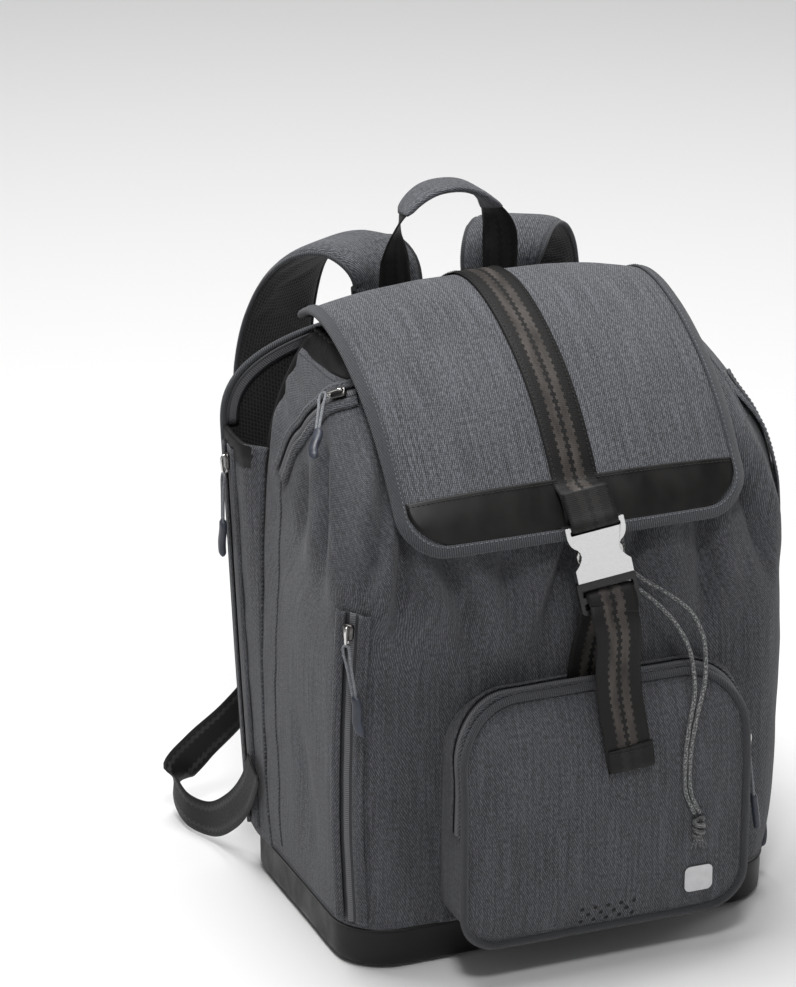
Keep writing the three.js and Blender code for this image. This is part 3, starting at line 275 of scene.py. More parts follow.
def beads(name, runs, paint, body="bag", pitch=3.3, length=2.3, thick=0.55):
    """Rows of stitches: runs are lists of (points, outward vectors) along a seam."""
    points, faces, loops = [], [], []
    for path, outs in runs:
        path, outs = np.asarray(path, float), np.asarray(outs, float)
        run = np.concatenate([[0], np.cumsum(np.linalg.norm(np.diff(path, axis=0), axis=1))])
        for place in np.arange(pitch / 2, run[-1], pitch):
            centre = np.array([np.interp(place, run, path[:, k]) for k in range(3)])
            ahead = np.array([np.interp(place + 0.5, run, path[:, k]) for k in range(3)])
            back = np.array([np.interp(place - 0.5, run, path[:, k]) for k in range(3)])
            out = unit([np.interp(place, run, outs[:, k]) for k in range(3)])
            along = unit(ahead - back)
            side = np.cross(along, out)
            base = len(points)
            for a, r, h in ((-0.5, 0.35, -0.4), (-0.3, 1, 0.5), (0.3, 1, 0.5), (0.5, 0.35, -0.4)):
                for turn in range(6):
                    angle = turn * math.pi / 3
                    spread = side * math.cos(angle) * r + out * (math.sin(angle) * r + h)
                    points.append(centre + along * a * length + spread * thick / 2)
            for i in range(3):
                for j in range(6):
                    k = (j + 1) % 6
                    faces.append([base + i * 6 + j, base + i * 6 + k, base + i * 6 + 6 + k,
                        base + i * 6 + 6 + j])
                    loops += [(0, 0)] * 4
            faces += [[base + j for j in range(6)][::-1], [base + 18 + j for j in range(6)]]
            loops += [(0, 0)] * 12
    return new_object(name, points, faces, loops, paint, body, ())


# ---- Paint --------------------------------------------------------------------------------------
class Paint:
    """One node material. Positions are in millimetres, on the cloth's own weave or in the object's space."""

    def __init__(self, name, roughness=0.8, **sockets):
        self.material = bpy.data.materials.new(name)
        self.material.use_nodes = True
        self.tree = self.material.node_tree
        self.shader = self.tree.nodes["Principled BSDF"]
        self.shader.inputs["Roughness"].default_value = roughness
        for socket, value in sockets.items():
            self.shader.inputs[socket.replace("_", " ")].default_value = value

    def node(self, kind, *inputs, **settings):
        made = self.tree.nodes.new(kind)
        for key, value in settings.items():
            setattr(made, key, value)
        for i, value in enumerate(inputs):
            self.put(made.inputs[i], value)
        return made

    def put(self, socket, value):
        if isinstance(value, bpy.types.NodeSocket):
            self.tree.links.new(value, socket)
        elif value is not None:
            socket.default_value = value

    def math(self, operation, *values):
        return self.node("ShaderNodeMath", *values, operation=operation).outputs[0]

    def place(self, woven, scale=(1, 1, 1)):
        """Millimetres on the weave, or in object space, stretched by scale."""
        if woven:
            source = self.node("ShaderNodeUVMap", uv_map="weave").outputs[0]
        else:
            source = self.node("ShaderNodeTexCoord").outputs["Object"]
        made = self.node("ShaderNodeMapping", source)
        made.inputs["Scale"].default_value = tuple(1000 * s for s in scale)
        return made.outputs[0]

    def noise(self, vector, detail=2.0, scale=1.0):
        made = self.node("ShaderNodeTexNoise")
        self.put(made.inputs["Vector"], vector)
        made.inputs["Scale"].default_value = scale
        made.inputs["Detail"].default_value = detail
        return made.outputs[0]

    def mix(self, factor, a, b):
        made = self.tree.nodes.new("ShaderNodeMix")
        made.data_type = "RGBA"
        self.put(made.inputs[0], factor)
        self.put(made.inputs[6], a if isinstance(a, bpy.types.NodeSocket) else (*a, 1))
        self.put(made.inputs[7], b if isinstance(b, bpy.types.NodeSocket) else (*b, 1))
        return made.outputs[2]

    def between(self, value, low, high):
        """value's share of the way from low to high, held to 0..1."""
        made = self.node("ShaderNodeMapRange", value, low, high)
        return made.outputs[0]

    def wave(self, value, period):
        """0 to 1 and back once in each period."""
        turned = self.math("SINE", self.math("MULTIPLY", value, 2 * math.pi / period))
        return self.math("MULTIPLY_ADD", turned, 0.5, 0.5)

    def uv(self):
        parts = self.node("ShaderNodeSeparateXYZ", self.place(True))
        return parts.outputs[0], parts.outputs[1]

    def finish(self, colour, height, bump=0.3, depth=0.3, rough=None):
        self.put(self.shader.inputs["Base Color"], colour)
        bumped = self.node("ShaderNodeBump")
        bumped.inputs["Strength"].default_value = bump
        bumped.inputs["Distance"].default_value = depth * MM
        self.put(bumped.inputs["Height"], height)
        self.put(self.shader.inputs["Normal"], bumped.outputs[0])
        if rough:
            value, low, high = rough
            self.put(self.shader.inputs["Roughness"],
                self.node("ShaderNodeMapRange", value, 0.0, 1.0, low, high).outputs[0])
        return self.material


def twill(name, dark, light, period=1.5, streaks=0.6):
    """Melange twill: slanting ribs, flecked threads and long heathered streaks."""
    p = Paint(name, 0.86, Sheen_Weight=0.12, Sheen_Roughness=0.5)
    u, v = p.uv()
    bent = p.math("MULTIPLY", p.noise(p.place(True, (0.35, 0.35, 1)), 1.0), 0.9)
    slant = p.math("ADD", p.math("MULTIPLY_ADD", v, 0.5, u), bent)
    rib = p.between(p.wave(slant, period), 0.12, 0.88)
    cross = p.between(p.wave(p.math("MULTIPLY_ADD", u, -0.35, v), period * 0.8), 0.1, 0.9)
    fleck = p.between(p.noise(p.place(True, (1.0, 0.34, 1)), 1.0), 0.38, 0.62)
    streak = p.between(p.noise(p.place(True, (0.55, 0.018, 1)), 3.0), 0.3, 0.7)
    cloud = p.between(p.noise(p.place(True, (0.02, 0.012, 1)), 2.0), 0.3, 0.7)
    thread = p.math("MULTIPLY", rib, p.math("MULTIPLY_ADD", cross, 0.6, 0.4))
    tone = p.math("MULTIPLY", thread, p.math("MULTIPLY_ADD", fleck, 0.75, 0.25))
    tone = p.math("MULTIPLY_ADD", p.math("MULTIPLY", fleck, streak), 0.3, tone)
    tone = p.math("ADD", tone, p.math("MULTIPLY", streak, streaks * 0.28))
    tone = p.math("MULTIPLY_ADD", cloud, 0.08, tone)
    height = p.math("MULTIPLY_ADD", fleck, 0.3, thread)
    return p.finish(p.mix(tone, dark, light), height, 0.75, 0.45, (fleck, 0.78, 0.92))


def grosgrain(name, dark, light, pitch=1.1):
    """Ribbed edge binding, with its ribs across the tape."""
    p = Paint(name, 0.85, Sheen_Weight=0.15)
    u, v = p.uv()
    rib = p.wave(v, pitch)
    fleck = p.between(p.noise(p.place(True, (0.9, 1.3, 1)), 2.0), 0.35, 0.65)
    tone = p.math("MULTIPLY", rib, p.math("MULTIPLY_ADD", fleck, 0.6, 0.4))
    return p.finish(p.mix(tone, dark, light), rib, 0.8, 0.45, (fleck, 0.75, 0.92))


def belt(name, base, ridge, sheen_stripe, stripe_from=2.0, stripe_to=7.5):
    """Seat-belt webbing: fine cross ribs in lanes, and two lighter stripes with broken edges along its ribbed
    weave, whose lighter colour is painted sheen, fading in and out in long patches.
    """
    p = Paint(name, 0.55, Specular_IOR_Level=0.2)
    u, v = p.uv()
    rib = p.wave(v, 1.25)
    lane = p.wave(u, 2.9)
    weft = p.wave(p.math("MULTIPLY_ADD", lane, 0.6, v), 0.9)
    step = p.math("MULTIPLY", p.math("GREATER_THAN", p.wave(v, 5.2), 0.5), 1.1)
    reach = p.math("ADD", p.math("ABSOLUTE", u), step)
    band = p.math("MULTIPLY", p.math("GREATER_THAN", reach, stripe_from),
        p.math("LESS_THAN", reach, stripe_to))
    fleck = p.between(p.noise(p.place(True, (0.9, 1.4, 1)), 2.0), 0.3, 0.7)
    # Long patches where the stripes' painted sheen is weaker or stronger.
    sheen_fade = p.between(p.noise(p.place(True, (0.12, 0.03, 1)), 2.0), 0.35, 0.62)
    thread = p.math("MULTIPLY_ADD", rib, 0.35, p.math("MULTIPLY", weft, 0.3))
    tone = p.math("MULTIPLY_ADD", fleck, 0.35, thread)
    ground = p.mix(tone, base, ridge)
    # Painted sheen: the stripes' lighter colour stands for the light that the weave's raised ribs catch.
    shown = p.math("MULTIPLY", band, p.math("MULTIPLY_ADD", sheen_fade, 0.6, 0.3))
    colour = p.mix(shown, ground, p.mix(tone, tuple(0.45 * c for c in sheen_stripe), sheen_stripe))
    return p.finish(colour, tone, 0.5, 0.3, (fleck, 0.42, 0.68))


def knit(name, dark, light, cell=3.2):
    """Spacer mesh: small hexagonal openings in a knitted face."""
    p = Paint(name, 0.9, Sheen_Weight=0.2)
    cells = p.node("ShaderNodeTexVoronoi", feature="DISTANCE_TO_EDGE")
    cells.inputs["Scale"].default_value = 1.0
    cells.inputs["Randomness"].default_value = 0.25
    p.put(cells.inputs["Vector"], p.place(True, (1 / cell, 0.8 / cell, 1)))
    rim = p.between(cells.outputs[0], 0.04, 0.22)
    fleck = p.noise(p.place(True, (1.2, 1.2, 1)), 2.0)
    tone = p.math("MULTIPLY", p.math("SUBTRACT", 1.0, rim), p.math("MULTIPLY_ADD", fleck, 0.8, 0.4))
    return p.finish(p.mix(tone, dark, light), tone, 0.7, 0.6, (fleck, 0.8, 0.95))


def smooth_cloth(name, dark, light, roughness=(0.42, 0.62), grain=0.25, woven=True, bump=0.25):
    """Coated or plain-woven black cloth with a fine grain, faint scuffs and soft creases."""
    p = Paint(name, 0.55, Specular_IOR_Level=0.28)
    fine = p.noise(p.place(woven, (1.7, 1.7, 1.7)), 3.0)
    scuff = p.between(p.noise(p.place(woven, (0.05, 0.03, 0.05)), 4.0), 0.35, 0.7)
    tone = p.math("MULTIPLY_ADD", fine, grain * 2, p.math("MULTIPLY", scuff, 0.5))
    height = p.math("MULTIPLY_ADD", scuff, 0.6, p.math("MULTIPLY", fine, 0.5))
    return p.finish(p.mix(tone, dark, light), height, bump, 0.4, (scuff, *roughness))


def metal(name, dark, light, roughness=(0.13, 0.24), brush=(0.3, 0.9, 2.4)):
    """Cast metal, faintly brushed and rubbed."""
    p = Paint(name, 0.3, Metallic=1.0)
    lines = p.noise(p.place(False, brush), 3.0)
    rub = p.between(p.noise(p.place(False, (0.12, 0.12, 0.12)), 3.0), 0.35, 0.65)
    tone = p.math("MULTIPLY_ADD", lines, 0.6, p.math("MULTIPLY", rub, 0.4))
    return p.finish(p.mix(tone, dark, light), lines, 0.08, 0.1, (rub, *roughness))


def moulded(name, dark, light, roughness=(0.2, 0.4), grain=1.4):
    """Moulded plastic or rubber with a fine grain and rubbed patches."""
    p = Paint(name, 0.35)
    fine = p.noise(p.place(False, (grain, grain, grain)), 4.0)
    rub = p.between(p.noise(p.place(False, (0.15, 0.15, 0.15)), 3.0), 0.35, 0.65)
    tone = p.math("MULTIPLY_ADD", fine, 0.4, p.math("MULTIPLY", rub, 0.5))
    return p.finish(p.mix(tone, dark, light), fine, 0.15, 0.15, (rub, *roughness))


def braid(name, dark, light, fleck_colour):
    """Braided cord: two crossing sets of strands with a light fleck."""
    p = Paint(name, 0.75, Sheen_Weight=0.2)
    u, v = p.uv()
    one = p.wave(p.math("MULTIPLY_ADD", v, 1.0, p.math("MULTIPLY", u, 1.6)), 1.7)
    two = p.wave(p.math("MULTIPLY_ADD", v, 1.0, p.math("MULTIPLY", u, -1.6)), 1.7)
    strand = p.math("MAXIMUM", one, two)
    fleck = p.between(p.noise(p.place(True, (0.9, 0.75, 1)), 1.0), 0.52, 0.6)
    colour = p.mix(p.math("MULTIPLY", fleck, 0.75), p.mix(strand, dark, light), fleck_colour)
    return p.finish(colour, strand, 0.7, 0.35, (fleck, 0.6, 0.8))


def coil_tape(name, dark, light, coil):
    """Zip tape: knitted tape either side of a coil of close teeth."""
    p = Paint(name, 0.75)
    u, v = p.uv()
    inside = p.math("LESS_THAN", p.math("ABSOLUTE", u), 2.4)
    tooth = p.wave(v, 1.5)
    knitted = p.wave(p.math("MULTIPLY_ADD", u, 0.5, v), 1.1)
    fleck = p.noise(p.place(True, (1.1, 1.1, 1)), 2.0)
    tone = p.math("MULTIPLY_ADD", knitted, 0.5, p.math("MULTIPLY", fleck, 0.5))
    colour = p.mix(inside, p.mix(tone, dark, light), p.mix(tooth, tuple(0.3 * c for c in coil), coil))
    height = p.math("MULTIPLY_ADD", p.math("MULTIPLY", inside, tooth), 0.8, p.math("MULTIPLY", tone, 0.3))
    return p.finish(colour, height, 0.6, 0.5, (tooth, 0.45, 0.8))


GREY_TWILL = twill("melange_twill", (0.0035, 0.0037, 0.0043), (0.135, 0.14, 0.158))
# Painted top light: the same melange twill, made lighter for the light that falls on the flap's top. The
# handle's grip wrap and the shoulder pads' tops use it too.
TOP_LIT_TWILL = twill("twill_painted_top_light", (0.005, 0.0053, 0.0062), (0.175, 0.182, 0.204))
LINING = smooth_cloth("lining", (0.02, 0.021, 0.023), (0.045, 0.047, 0.05), (0.6, 0.8))
BINDING = grosgrain("binding_tape", (0.014, 0.0146, 0.0165), (0.1, 0.105, 0.12), 1.5)
PIPING = grosgrain("pocket_piping_cloth", (0.012, 0.0126, 0.0145), (0.078, 0.082, 0.095), 1.5)
# The lighter stripes on these webbings are painted sheen.
WEBBING = belt("webbing_painted_sheen_stripes", (0.0025, 0.0023, 0.0022), (0.017, 0.0155, 0.015), (0.11, 0.096, 0.088))
LOOP_WEBBING = belt("webbing_loop", (0.003, 0.003, 0.003), (0.018, 0.018, 0.018), (0.07, 0.07, 0.07), 6.5,
    9.5)
PLAIN_WEBBING = belt("webbing_plain", (0.003, 0.0028, 0.0027), (0.02, 0.0185, 0.018), (0.03, 0.028, 0.027))
BOOT_CLOTH = smooth_cloth("boot_cloth", (0.002, 0.002, 0.002), (0.011, 0.011, 0.0115), (0.36, 0.6), bump=0.6)
TRIM_CLOTH = smooth_cloth("band_cloth", (0.004, 0.0037, 0.0036), (0.015, 0.0138, 0.013), (0.38, 0.6))
COLLAR_CLOTH = smooth_cloth("collar_cloth", (0.003, 0.003, 0.0034), (0.014, 0.014, 0.0155), (0.5, 0.7))
MESH_CLOTH = knit("spacer_mesh", (0.003, 0.003, 0.003), (0.034, 0.034, 0.036), 2.2)
TAPE_CLOTH = coil_tape("zip_tape_cloth", (0.008, 0.0085, 0.0095), (0.042, 0.044, 0.05), (0.17, 0.172, 0.185))
CORD_CLOTH = braid("drawcord_braid", (0.012, 0.0125, 0.0135), (0.085, 0.088, 0.092), (0.42, 0.42, 0.42))
PULL_CLOTH = braid("pull_braid", (0.05, 0.053, 0.06), (0.17, 0.18, 0.2), (0.3, 0.31, 0.33))
THREAD = moulded("thread", (0.03, 0.032, 0.037), (0.12, 0.127, 0.145), (0.6, 0.8), 2.4)
PALE_THREAD = moulded("pale_thread", (0.07, 0.075, 0.088), (0.24, 0.255, 0.29), (0.6, 0.8), 2.4)
BLACK_THREAD = moulded("black_thread", (0.004, 0.004, 0.004), (0.02, 0.02, 0.02), (0.5, 0.8), 2.4)
SATIN_METAL = metal("satin_metal", (0.6, 0.6, 0.61), (0.74, 0.74, 0.74), (0.16, 0.24))
BADGE_METAL = metal("badge_metal", (0.4, 0.4, 0.41), (0.58, 0.58, 0.59), (0.3, 0.38), (0.1, 0.9, 2.4))
DARK_METAL = metal("dark_metal", (0.05, 0.048, 0.047), (0.2, 0.19, 0.185), (0.25, 0.42), (0.5, 0.5, 0.5))
STEEL = metal("polished_steel", (0.45, 0.44, 0.43), (0.8, 0.79, 0.77), (0.14, 0.3), (0.5, 0.5, 0.5))
BLACK_PLASTIC = moulded("black_plastic", (0.004, 0.004, 0.004), (0.016, 0.016, 0.017))
GRIP_RUBBER = moulded("grip_rubber", (0.02, 0.023, 0.032), (0.055, 0.062, 0.085), (0.35, 0.55), 2.0)
BOARD_PLASTIC = moulded("board_plastic", (0.008, 0.008, 0.008), (0.025, 0.025, 0.025), (0.45, 0.65))

# ---- The main compartment's outer surface, as the CAD has it --------------------------------------
BOOT_HEIGHT, GAP = 28, 0.4
COLLAR_FOOT, COLLAR_TOP = 382, 394
SHOULDER_Z, SHOULDER_RISE = 316, 66
half_width = profile(
    [(28, 155), (60, 158), (150, 160), (250, 158), (300, 155), (330, 150), (350, 144), (368, 136),
    (380, 129), (394, 118)]
)
front_y = profile(
    [(28, -91), (60, -94), (250, -99), (292, -96), (312, -90), (330, -81), (345, -70), (358, -57), (372, -40),
     (384, -24), (394, -12)]
)
corner_radius = profile([(28, 36), (250, 34), (330, 40), (394, 46)])
CROWN = 5


def divider_y(z):
    return 54 + 0.02 * z


def back_y(z):
    return 97 + 0.05 * z


def body_point(station, z, inset=0.0):
    """station: 0-1 left side from the divider forwards, 1-2 left corner, 2-3 front, 3-4 right corner,
    4-5 right side back to the divider."""
    hx, yf, r = half_width(z), front_y(z), corner_radius(z)
    mirror = -1 if station > 2.5 else 1
    s = 5 - station if station > 2.5 else station
    if s <= 1:
        x, y = -hx + inset, lerp(divider_y(z), yf + r, s)
    elif s <= 2:
        a = (s - 1) * math.pi / 2
        x, y = -hx + r - (r - inset) * math.cos(a), yf + r - (r - inset) * math.sin(a)
    else:
        x = lerp(-hx + r, 0, (s - 2) * 2)
        y = yf + inset - CROWN * math.sin((s - 2) * math.pi) ** 2
    return np.array((mirror * x, y, z))


def body_normal(station, z):
    along = body_point(station + 0.02, z) - body_point(station - 0.02, z)
    up = body_point(station, z + 1) - body_point(station, z - 1)
    return unit(np.cross(along, up))


def body_front_y(x, z):
    return body_point(2.5 + x / (2 * (half_width(z) - corner_radius(z))), z)[1]


# ---- The drawcord's two free ends -----------------------------------------------------------------
CORD_RADIUS = 1.4
EYELET = (13, 388.2)
eyelet_point = body_point(2.5 + EYELET[0] / (2 * (half_width(EYELET[1]) - corner_radius(EYELET[1]))),
    EYELET[1])


def on_front(x, z, clear=0.0):
    return (x, body_front_y(x, z) - CORD_RADIUS - 0.8 - clear, z)


CORD_ROUTES = {
    "right": [
        (14.9, eyelet_point[1] - 6.2, 386.4), on_front(16.5, 375, 1.6), on_front(18, 362, 1),
        on_front(20, 347), on_front(23, 325),
        on_front(25.5, 303), on_front(27.5, 284), on_front(29.5, 269), (38, -109.5, 260), (55, -114, 248),
        (69, -119, 236), (76.5, -124, 220), (77, -128.5, 206), (74.5, -133.5, 190), (67, -139.5, 171),
        (60.9, -143.8, 149), (61.1, -144.4, 119), (67.8, -144.4, 103),
    ],
    "left": [
        (11.1, eyelet_point[1] - 6.2, 386.4), on_front(12.5, 375, 1.6), on_front(14, 362, 1),
        on_front(16, 347), on_front(19, 325),
        on_front(21.5, 303), on_front(23.5, 284), on_front(25.3, 266), (33, -110.5, 256),
        (46.5, -116.5, 243.5),
        (58.5, -121, 229), (65.5, -126, 214), (67.5, -130, 201), (66.5, -135.5, 183), (61, -140.6, 166),
        (57.4, -143.8, 149), (57.6, -144.4, 119), (64.4, -144.4, 103),
    ],
}
KNOT = np.array((66.6, -147, 93.0))


def make_knot():
    """An overhand knot: two and a half turns round both cords, and their frayed ends below it."""
    turns = np.linspace(0, 5 * math.pi, 70)
    wraps = [KNOT + (3.1 * math.cos(a), 2.7 * math.sin(a), 6.4 - 11.5 * i / 69) for i, a in enumerate(turns)]
    middle = tube("drawcord_knot_wraps", wraps, 1.45, CORD_CLOTH, "bag", ["drawcord_knot"], 10)
    parts = [middle]
    for k in range(9):
        lean = (k - 4) * 0.9
        end = [KNOT + (0.3 * lean, 0.4 * math.cos(k * 2.1), -4), KNOT + (0.8 * lean, math.cos(k * 2.1), -9),
               KNOT + (1.35 * lean + math.sin(k * 1.7), 0.9 * math.cos(k * 1.3),
               -13.5 - 1.3 * math.cos(k * 2.7))]
        strand = tube(f"drawcord_fray_{k}", line(end, 8), lambda t: 0.62 - 0.3 * t, CORD_CLOTH, "bag", (), 6)
        parts.append(strand)
    return parts


knot_parts = make_knot()
for side, route in CORD_ROUTES.items():
    path = line(route, 110)
    cord = tube(f"drawcord_end_{side}", path, CORD_RADIUS, CORD_CLOTH, "bag", [f"drawcord_{side}"], 12)

# ---- The compartment's shell ----------------------------------------------------------------------
# Folds run down from the gathered mouth: [along at the top, z], [along at the foot, z], half width, depth.
# along is measured round the shell from the middle of its front.
FOLDS = [
    ((-126, 338), (-148, 270), 5, -8.5), ((-117, 318), (-122, 238), 5.5, -9.0),
    ((-101, 322), (-74, 222), 7, -8.5),
    ((-134, 330), (-135, 262), 7, 5.0), ((-110, 316), (-98, 238), 7, 5.0), ((-88, 304), (-58, 214), 10, 3.6),
    ((-62, 304), (-42, 230), 8, -4.6), ((-2, 294), (-28, 216), 6.5, -7.5), ((-14, 288), (-44, 225), 8, 3.6),
    ((22, 300), (14, 226), 8, 3.2), ((58, 300), (66, 232), 10, 4.0), ((82, 322), (90, 222), 4.6, -8.0),
    ((100, 314), (104, 232), 9, 4.0), ((117, 322), (140, 244), 5.2, -8.5), ((134, 324), (156, 258), 8, 3.8),
    ((-176, 356), (-196, 264), 7, -6.0), ((-160, 348), (-176, 262), 8, 4.0),
    ((-214, 350), (-236, 276), 8, -5.0),
    ((-196, 345), (-215, 272), 9, 3.0), ((40, 296), (36, 250), 6, -4.0), ((-40, 296), (-52, 262), 6, -4.0),
    ((182, 345), (196, 270), 11, -3.0), ((-232, 140), (-214, 52), 13, -2.6),
    ((226, 150), (206, 60), 13, -2.6),
]
FOLD_GAIN = 1.25
POCKET = {"x": 4, "half": 98, "foot": 31, "top": 194.5, "top_radius": 40, "foot_radius": 24, "flare": 15}


def run_of(station, z):
    """How far round the shell from the middle of the front, in mm."""
    flat = half_width(z) - corner_radius(z)
    s = abs(station - 2.5)
    if s <= 0.5:
        far = 2 * s * flat
    elif s <= 1.5:
        far = flat + (s - 0.5) * corner_radius(z) * math.pi / 2
    else:
        far = flat + corner_radius(z) * math.pi / 2 + (s - 1.5) * (divider_y(z) - front_y(z)
            - corner_radius(z))
    return math.copysign(far, station - 2.5)


def fold_height(run, z):
    total = 0.0
    for (run0, z0), (run1, z1), wide, depth in FOLDS:
        down = (z0 - z) / (z0 - z1)
        if not -0.4 < down < 1.25:
            continue
        fade = smoothstep(1.25 - down, 0, 0.6) * smoothstep(down, -0.4, 0.2)
        bend = 3 * math.sin(down * 2.4 + run0)
        spread = wide * (0.75 + 0.55 * max(down, 0))
        off = (run - lerp(run0, run1, down) - bend) / spread
        total += depth * fade * math.exp(-off * off * (1.0 if off * run0 > 0 else 0.6))
    return FOLD_GAIN * total


ACCESS_KEYS = [(1.44, 377), (1.15, 371), (0.85, 362), (0.58, 349), (0.36, 331), (0.24, 308)]
ACCESS_RUN = [(run_of(s / 100, z), z) for s, z, _ in line([(100 * s, z, 0) for s, z in ACCESS_KEYS], 24)]


def shell_rise(station, z):
    """How far the cloth stands off the plain surface: folds under the gathered mouth and a soft, uneven
    hang, with calm cloth behind the pocket, round the side slider and along the access zip."""
    run = run_of(station, z)
    x = body_point(station, z)[0]
    behind_pocket = smoothstep(12 - max(abs(x - POCKET["x"]) - POCKET["half"], z - POCKET["top"], 0), 0, 12)
    behind_pocket *= 1 if abs(run) < 130 else 0
    free = 1 - behind_pocket
    edge = smoothstep(z, 29, 50) * smoothstep(COLLAR_FOOT - z, 0, 24)
    gather = smoothstep(z, 268, 350) * 1.9 * math.sin(run / 6.4 + 2 * wobble(run, z, 0,
        60)) * smoothstep(COLLAR_FOOT + 6 - z, 0, 10)
    soft = 2.1 * wobble(run, 0.6 * z, 0, 62, 3.1) + 0.8 * wobble(run, z, 0, 24, 8.7)
    near_slider = math.exp(-((run + 148) / 16) ** 2 - ((z - 244) / 20) ** 2)
    off_zip = min(math.hypot(run - a, z - b) for a, b in ACCESS_RUN) if run < -60 and z > 280 else 99
    calm = 1 - 0.9 * smoothstep(26 - off_zip, 0, 16)
    return free * calm * (edge * (fold_height(run, z) + soft) * (1 - 0.8 * near_slider) + gather * 0.75) - 0.2


def shell_point(station, z, lift=0.0):
    return body_point(station, z) + body_normal(station, z) * (shell_rise(station, z) + lift)


stations = np.unique(np.concatenate([
    np.linspace(0.0, 1.0, 34), np.linspace(1, 2, 22), np.linspace(2, 3, 76), np.linspace(3, 4, 22),
    np.linspace(4, 5, 34),
]))
heights = np.linspace(BOOT_HEIGHT + GAP, COLLAR_FOOT, 100)
shell = grid("compartment_shell", [[shell_point(s, z) for s in stations] for z in heights],
    [GREY_TWILL, LINING], "bag",
             ["left_side_panel", "front_panel", "right_side_panel"], thickness=2.2)
shell.modifiers["thickness"].material_offset = 1


def seam(name, keys, paint=GREY_TWILL, width=1.5, lift=0.1, count=80):
    """A raised seam on the shell through [station, z] keys."""
    places = line([(s * 100, z, 0) for s, z in keys], count)
    made = tube(name, [shell_point(s / 100, z, lift) for s, z, _ in places], width, paint, "bag", (), 8)
    return made


def shell_stitches(keys, count):
    """A line of stitches on the shell through [station, z] keys: its points and outward vectors."""
    places = line([(s * 100, z, 0) for s, z in keys], count)
    path, outs = [], []
    for s, z, _ in places:
        path.append(shell_point(s / 100, z, 0.25))
        outs.append(body_normal(s / 100, z))
    return path, outs


# ---- Collar -----------------------------------------------------------------------------------
def collar_point(turn, z, inset=0.0):
    """turn 0-5 round the front and sides, 5-6 back along the divider."""
    if turn <= 5:
        p = body_point(min(turn, 4.999), z, inset)
    else:
        p = np.array((lerp(1, -1, turn - 5) * (half_width(z) - inset), 0, z))
        p[1] = divider_y(z) - GAP - inset
    p[1] = min(p[1], divider_y(z) - GAP - inset)
    return p


collar_turns = np.linspace(0, 6, 241)[:-1]
collar_rows = []
for z in np.linspace(COLLAR_FOOT - 1, COLLAR_TOP, 12):
    ring = np.array([collar_point(t, z) for t in collar_turns])
    out = np.cross(np.roll(ring, -1, 0) - np.roll(ring, 1, 0), (0, 0, 1.0))
    out /= np.linalg.norm(out, axis=1, keepdims=True)
    ripple = [1.3 * smoothstep(z, COLLAR_FOOT,
        COLLAR_TOP) * math.sin(t * 22 + 2 * wobble(t * 30, z, 0, 40)) for t in collar_turns]
    collar_rows.append(ring + out * np.array(ripple)[:, None] - out * 0.9)
collar = grid("gathered_collar", collar_rows, COLLAR_CLOTH, "bag", ["neck_collar"], around=True,
    thickness=1.4, proud=0.5)
hem_line = np.array(collar_rows[-1])
hem = tube("collar_hem", hem_line, 1.9, COLLAR_CLOTH, "bag", (), 8, looped=True)
neck_cord = tube("neck_cord", spaced(np.vstack([hem_line, hem_line[:1]]), 160)[2:-2] - (0, 0, 7), 1.3,
    CORD_CLOTH, "bag",
                 ["neck_drawcord"], 8)


# ---- Base ---------------------------------------------------------------------------------------
def boot_ring(z, inset, count=64):
    """The boot's rounded outline."""
    x, y0, y1 = 155 - inset, -91 + inset, back_y(BOOT_HEIGHT) + 4 - inset
    points = []
    for (cx, cy, r), start in (((x, y1, 26), 0), ((-x, y1, 26), 1), ((-x, y0, 36), 2), ((x, y0, 36), 3)):
        r = max(r - inset, 4)
        mx, my = cx - math.copysign(r, cx), cy - math.copysign(r, cy)
        for k in range(13):
            a = (start + k / 12) * math.pi / 2
            points.append((mx + r * math.cos(a), my + r * math.sin(a), z))
    ring = spaced([*points, points[0]], 4 * count + 1)[:-1]
    return ring


boot_rows = []
BOOT_PROFILE = [(0.3, 60), (0.3, 30), (0.3, 12), (0.5, 6), (1.6, 2.6), (4.2, 0.7), (8, 0.2), (14, 0), (20, 0),
                (26, 0.1), (28, 0.3)]
for z, inset in BOOT_PROFILE:
    ring = boot_ring(z, inset)
    pucker = [0.5 * wobble(p[0], p[1], 4 * z, 26, 5) for p in ring] if z > 2 else [0] * len(ring)
    centre = ring.mean(0)
    boot_rows.append([p + unit((p - centre) * (1, 1, 0)) * (k - 0.3) for p, k in zip(ring, pucker)])
boot_piece = grid("wipe_clean_base", boot_rows, BOOT_CLOTH, "bag", ["base_boot"], around=True, thickness=2.4)
floor_rows = [boot_ring(2.2, 59), boot_ring(2.2, 75) * (0.02, 0.02, 1) + (0, 5, 0)]
base_floor = grid("base_underside", floor_rows, BOOT_CLOTH, "bag", (), around=True, thickness=1.5)
welt_line = boot_ring(BOOT_HEIGHT + 0.2, 0.6)
welt = tube("base_welt", welt_line, 1.3, BOOT_CLOTH, "bag", (), 8, looped=True)


# ---- Racket sleeve --------------------------------------------------------------------------------
sleeve_half = profile([(28, 155), (150, 160), (SHOULDER_Z, 165)])


def sleeve_outline(q, inset=0.0):
    """q 0-1 up the left side, 1-2 over the rounded top, 2-3 down the right side: x and z."""
    side = 1 if q > 1.5 else -1
    half = 3 - q if q > 1.5 else q
    if half <= 1:
        z = lerp(BOOT_HEIGHT + GAP, SHOULDER_Z, half)
        return side * (sleeve_half(z) - inset), z
    a = (half - 1) * math.pi
    wide = sleeve_half(SHOULDER_Z) - inset
    return side * wide * max(math.cos(a),
        0) ** 0.77, SHOULDER_Z + (SHOULDER_RISE - inset) * math.sin(a) ** 0.77


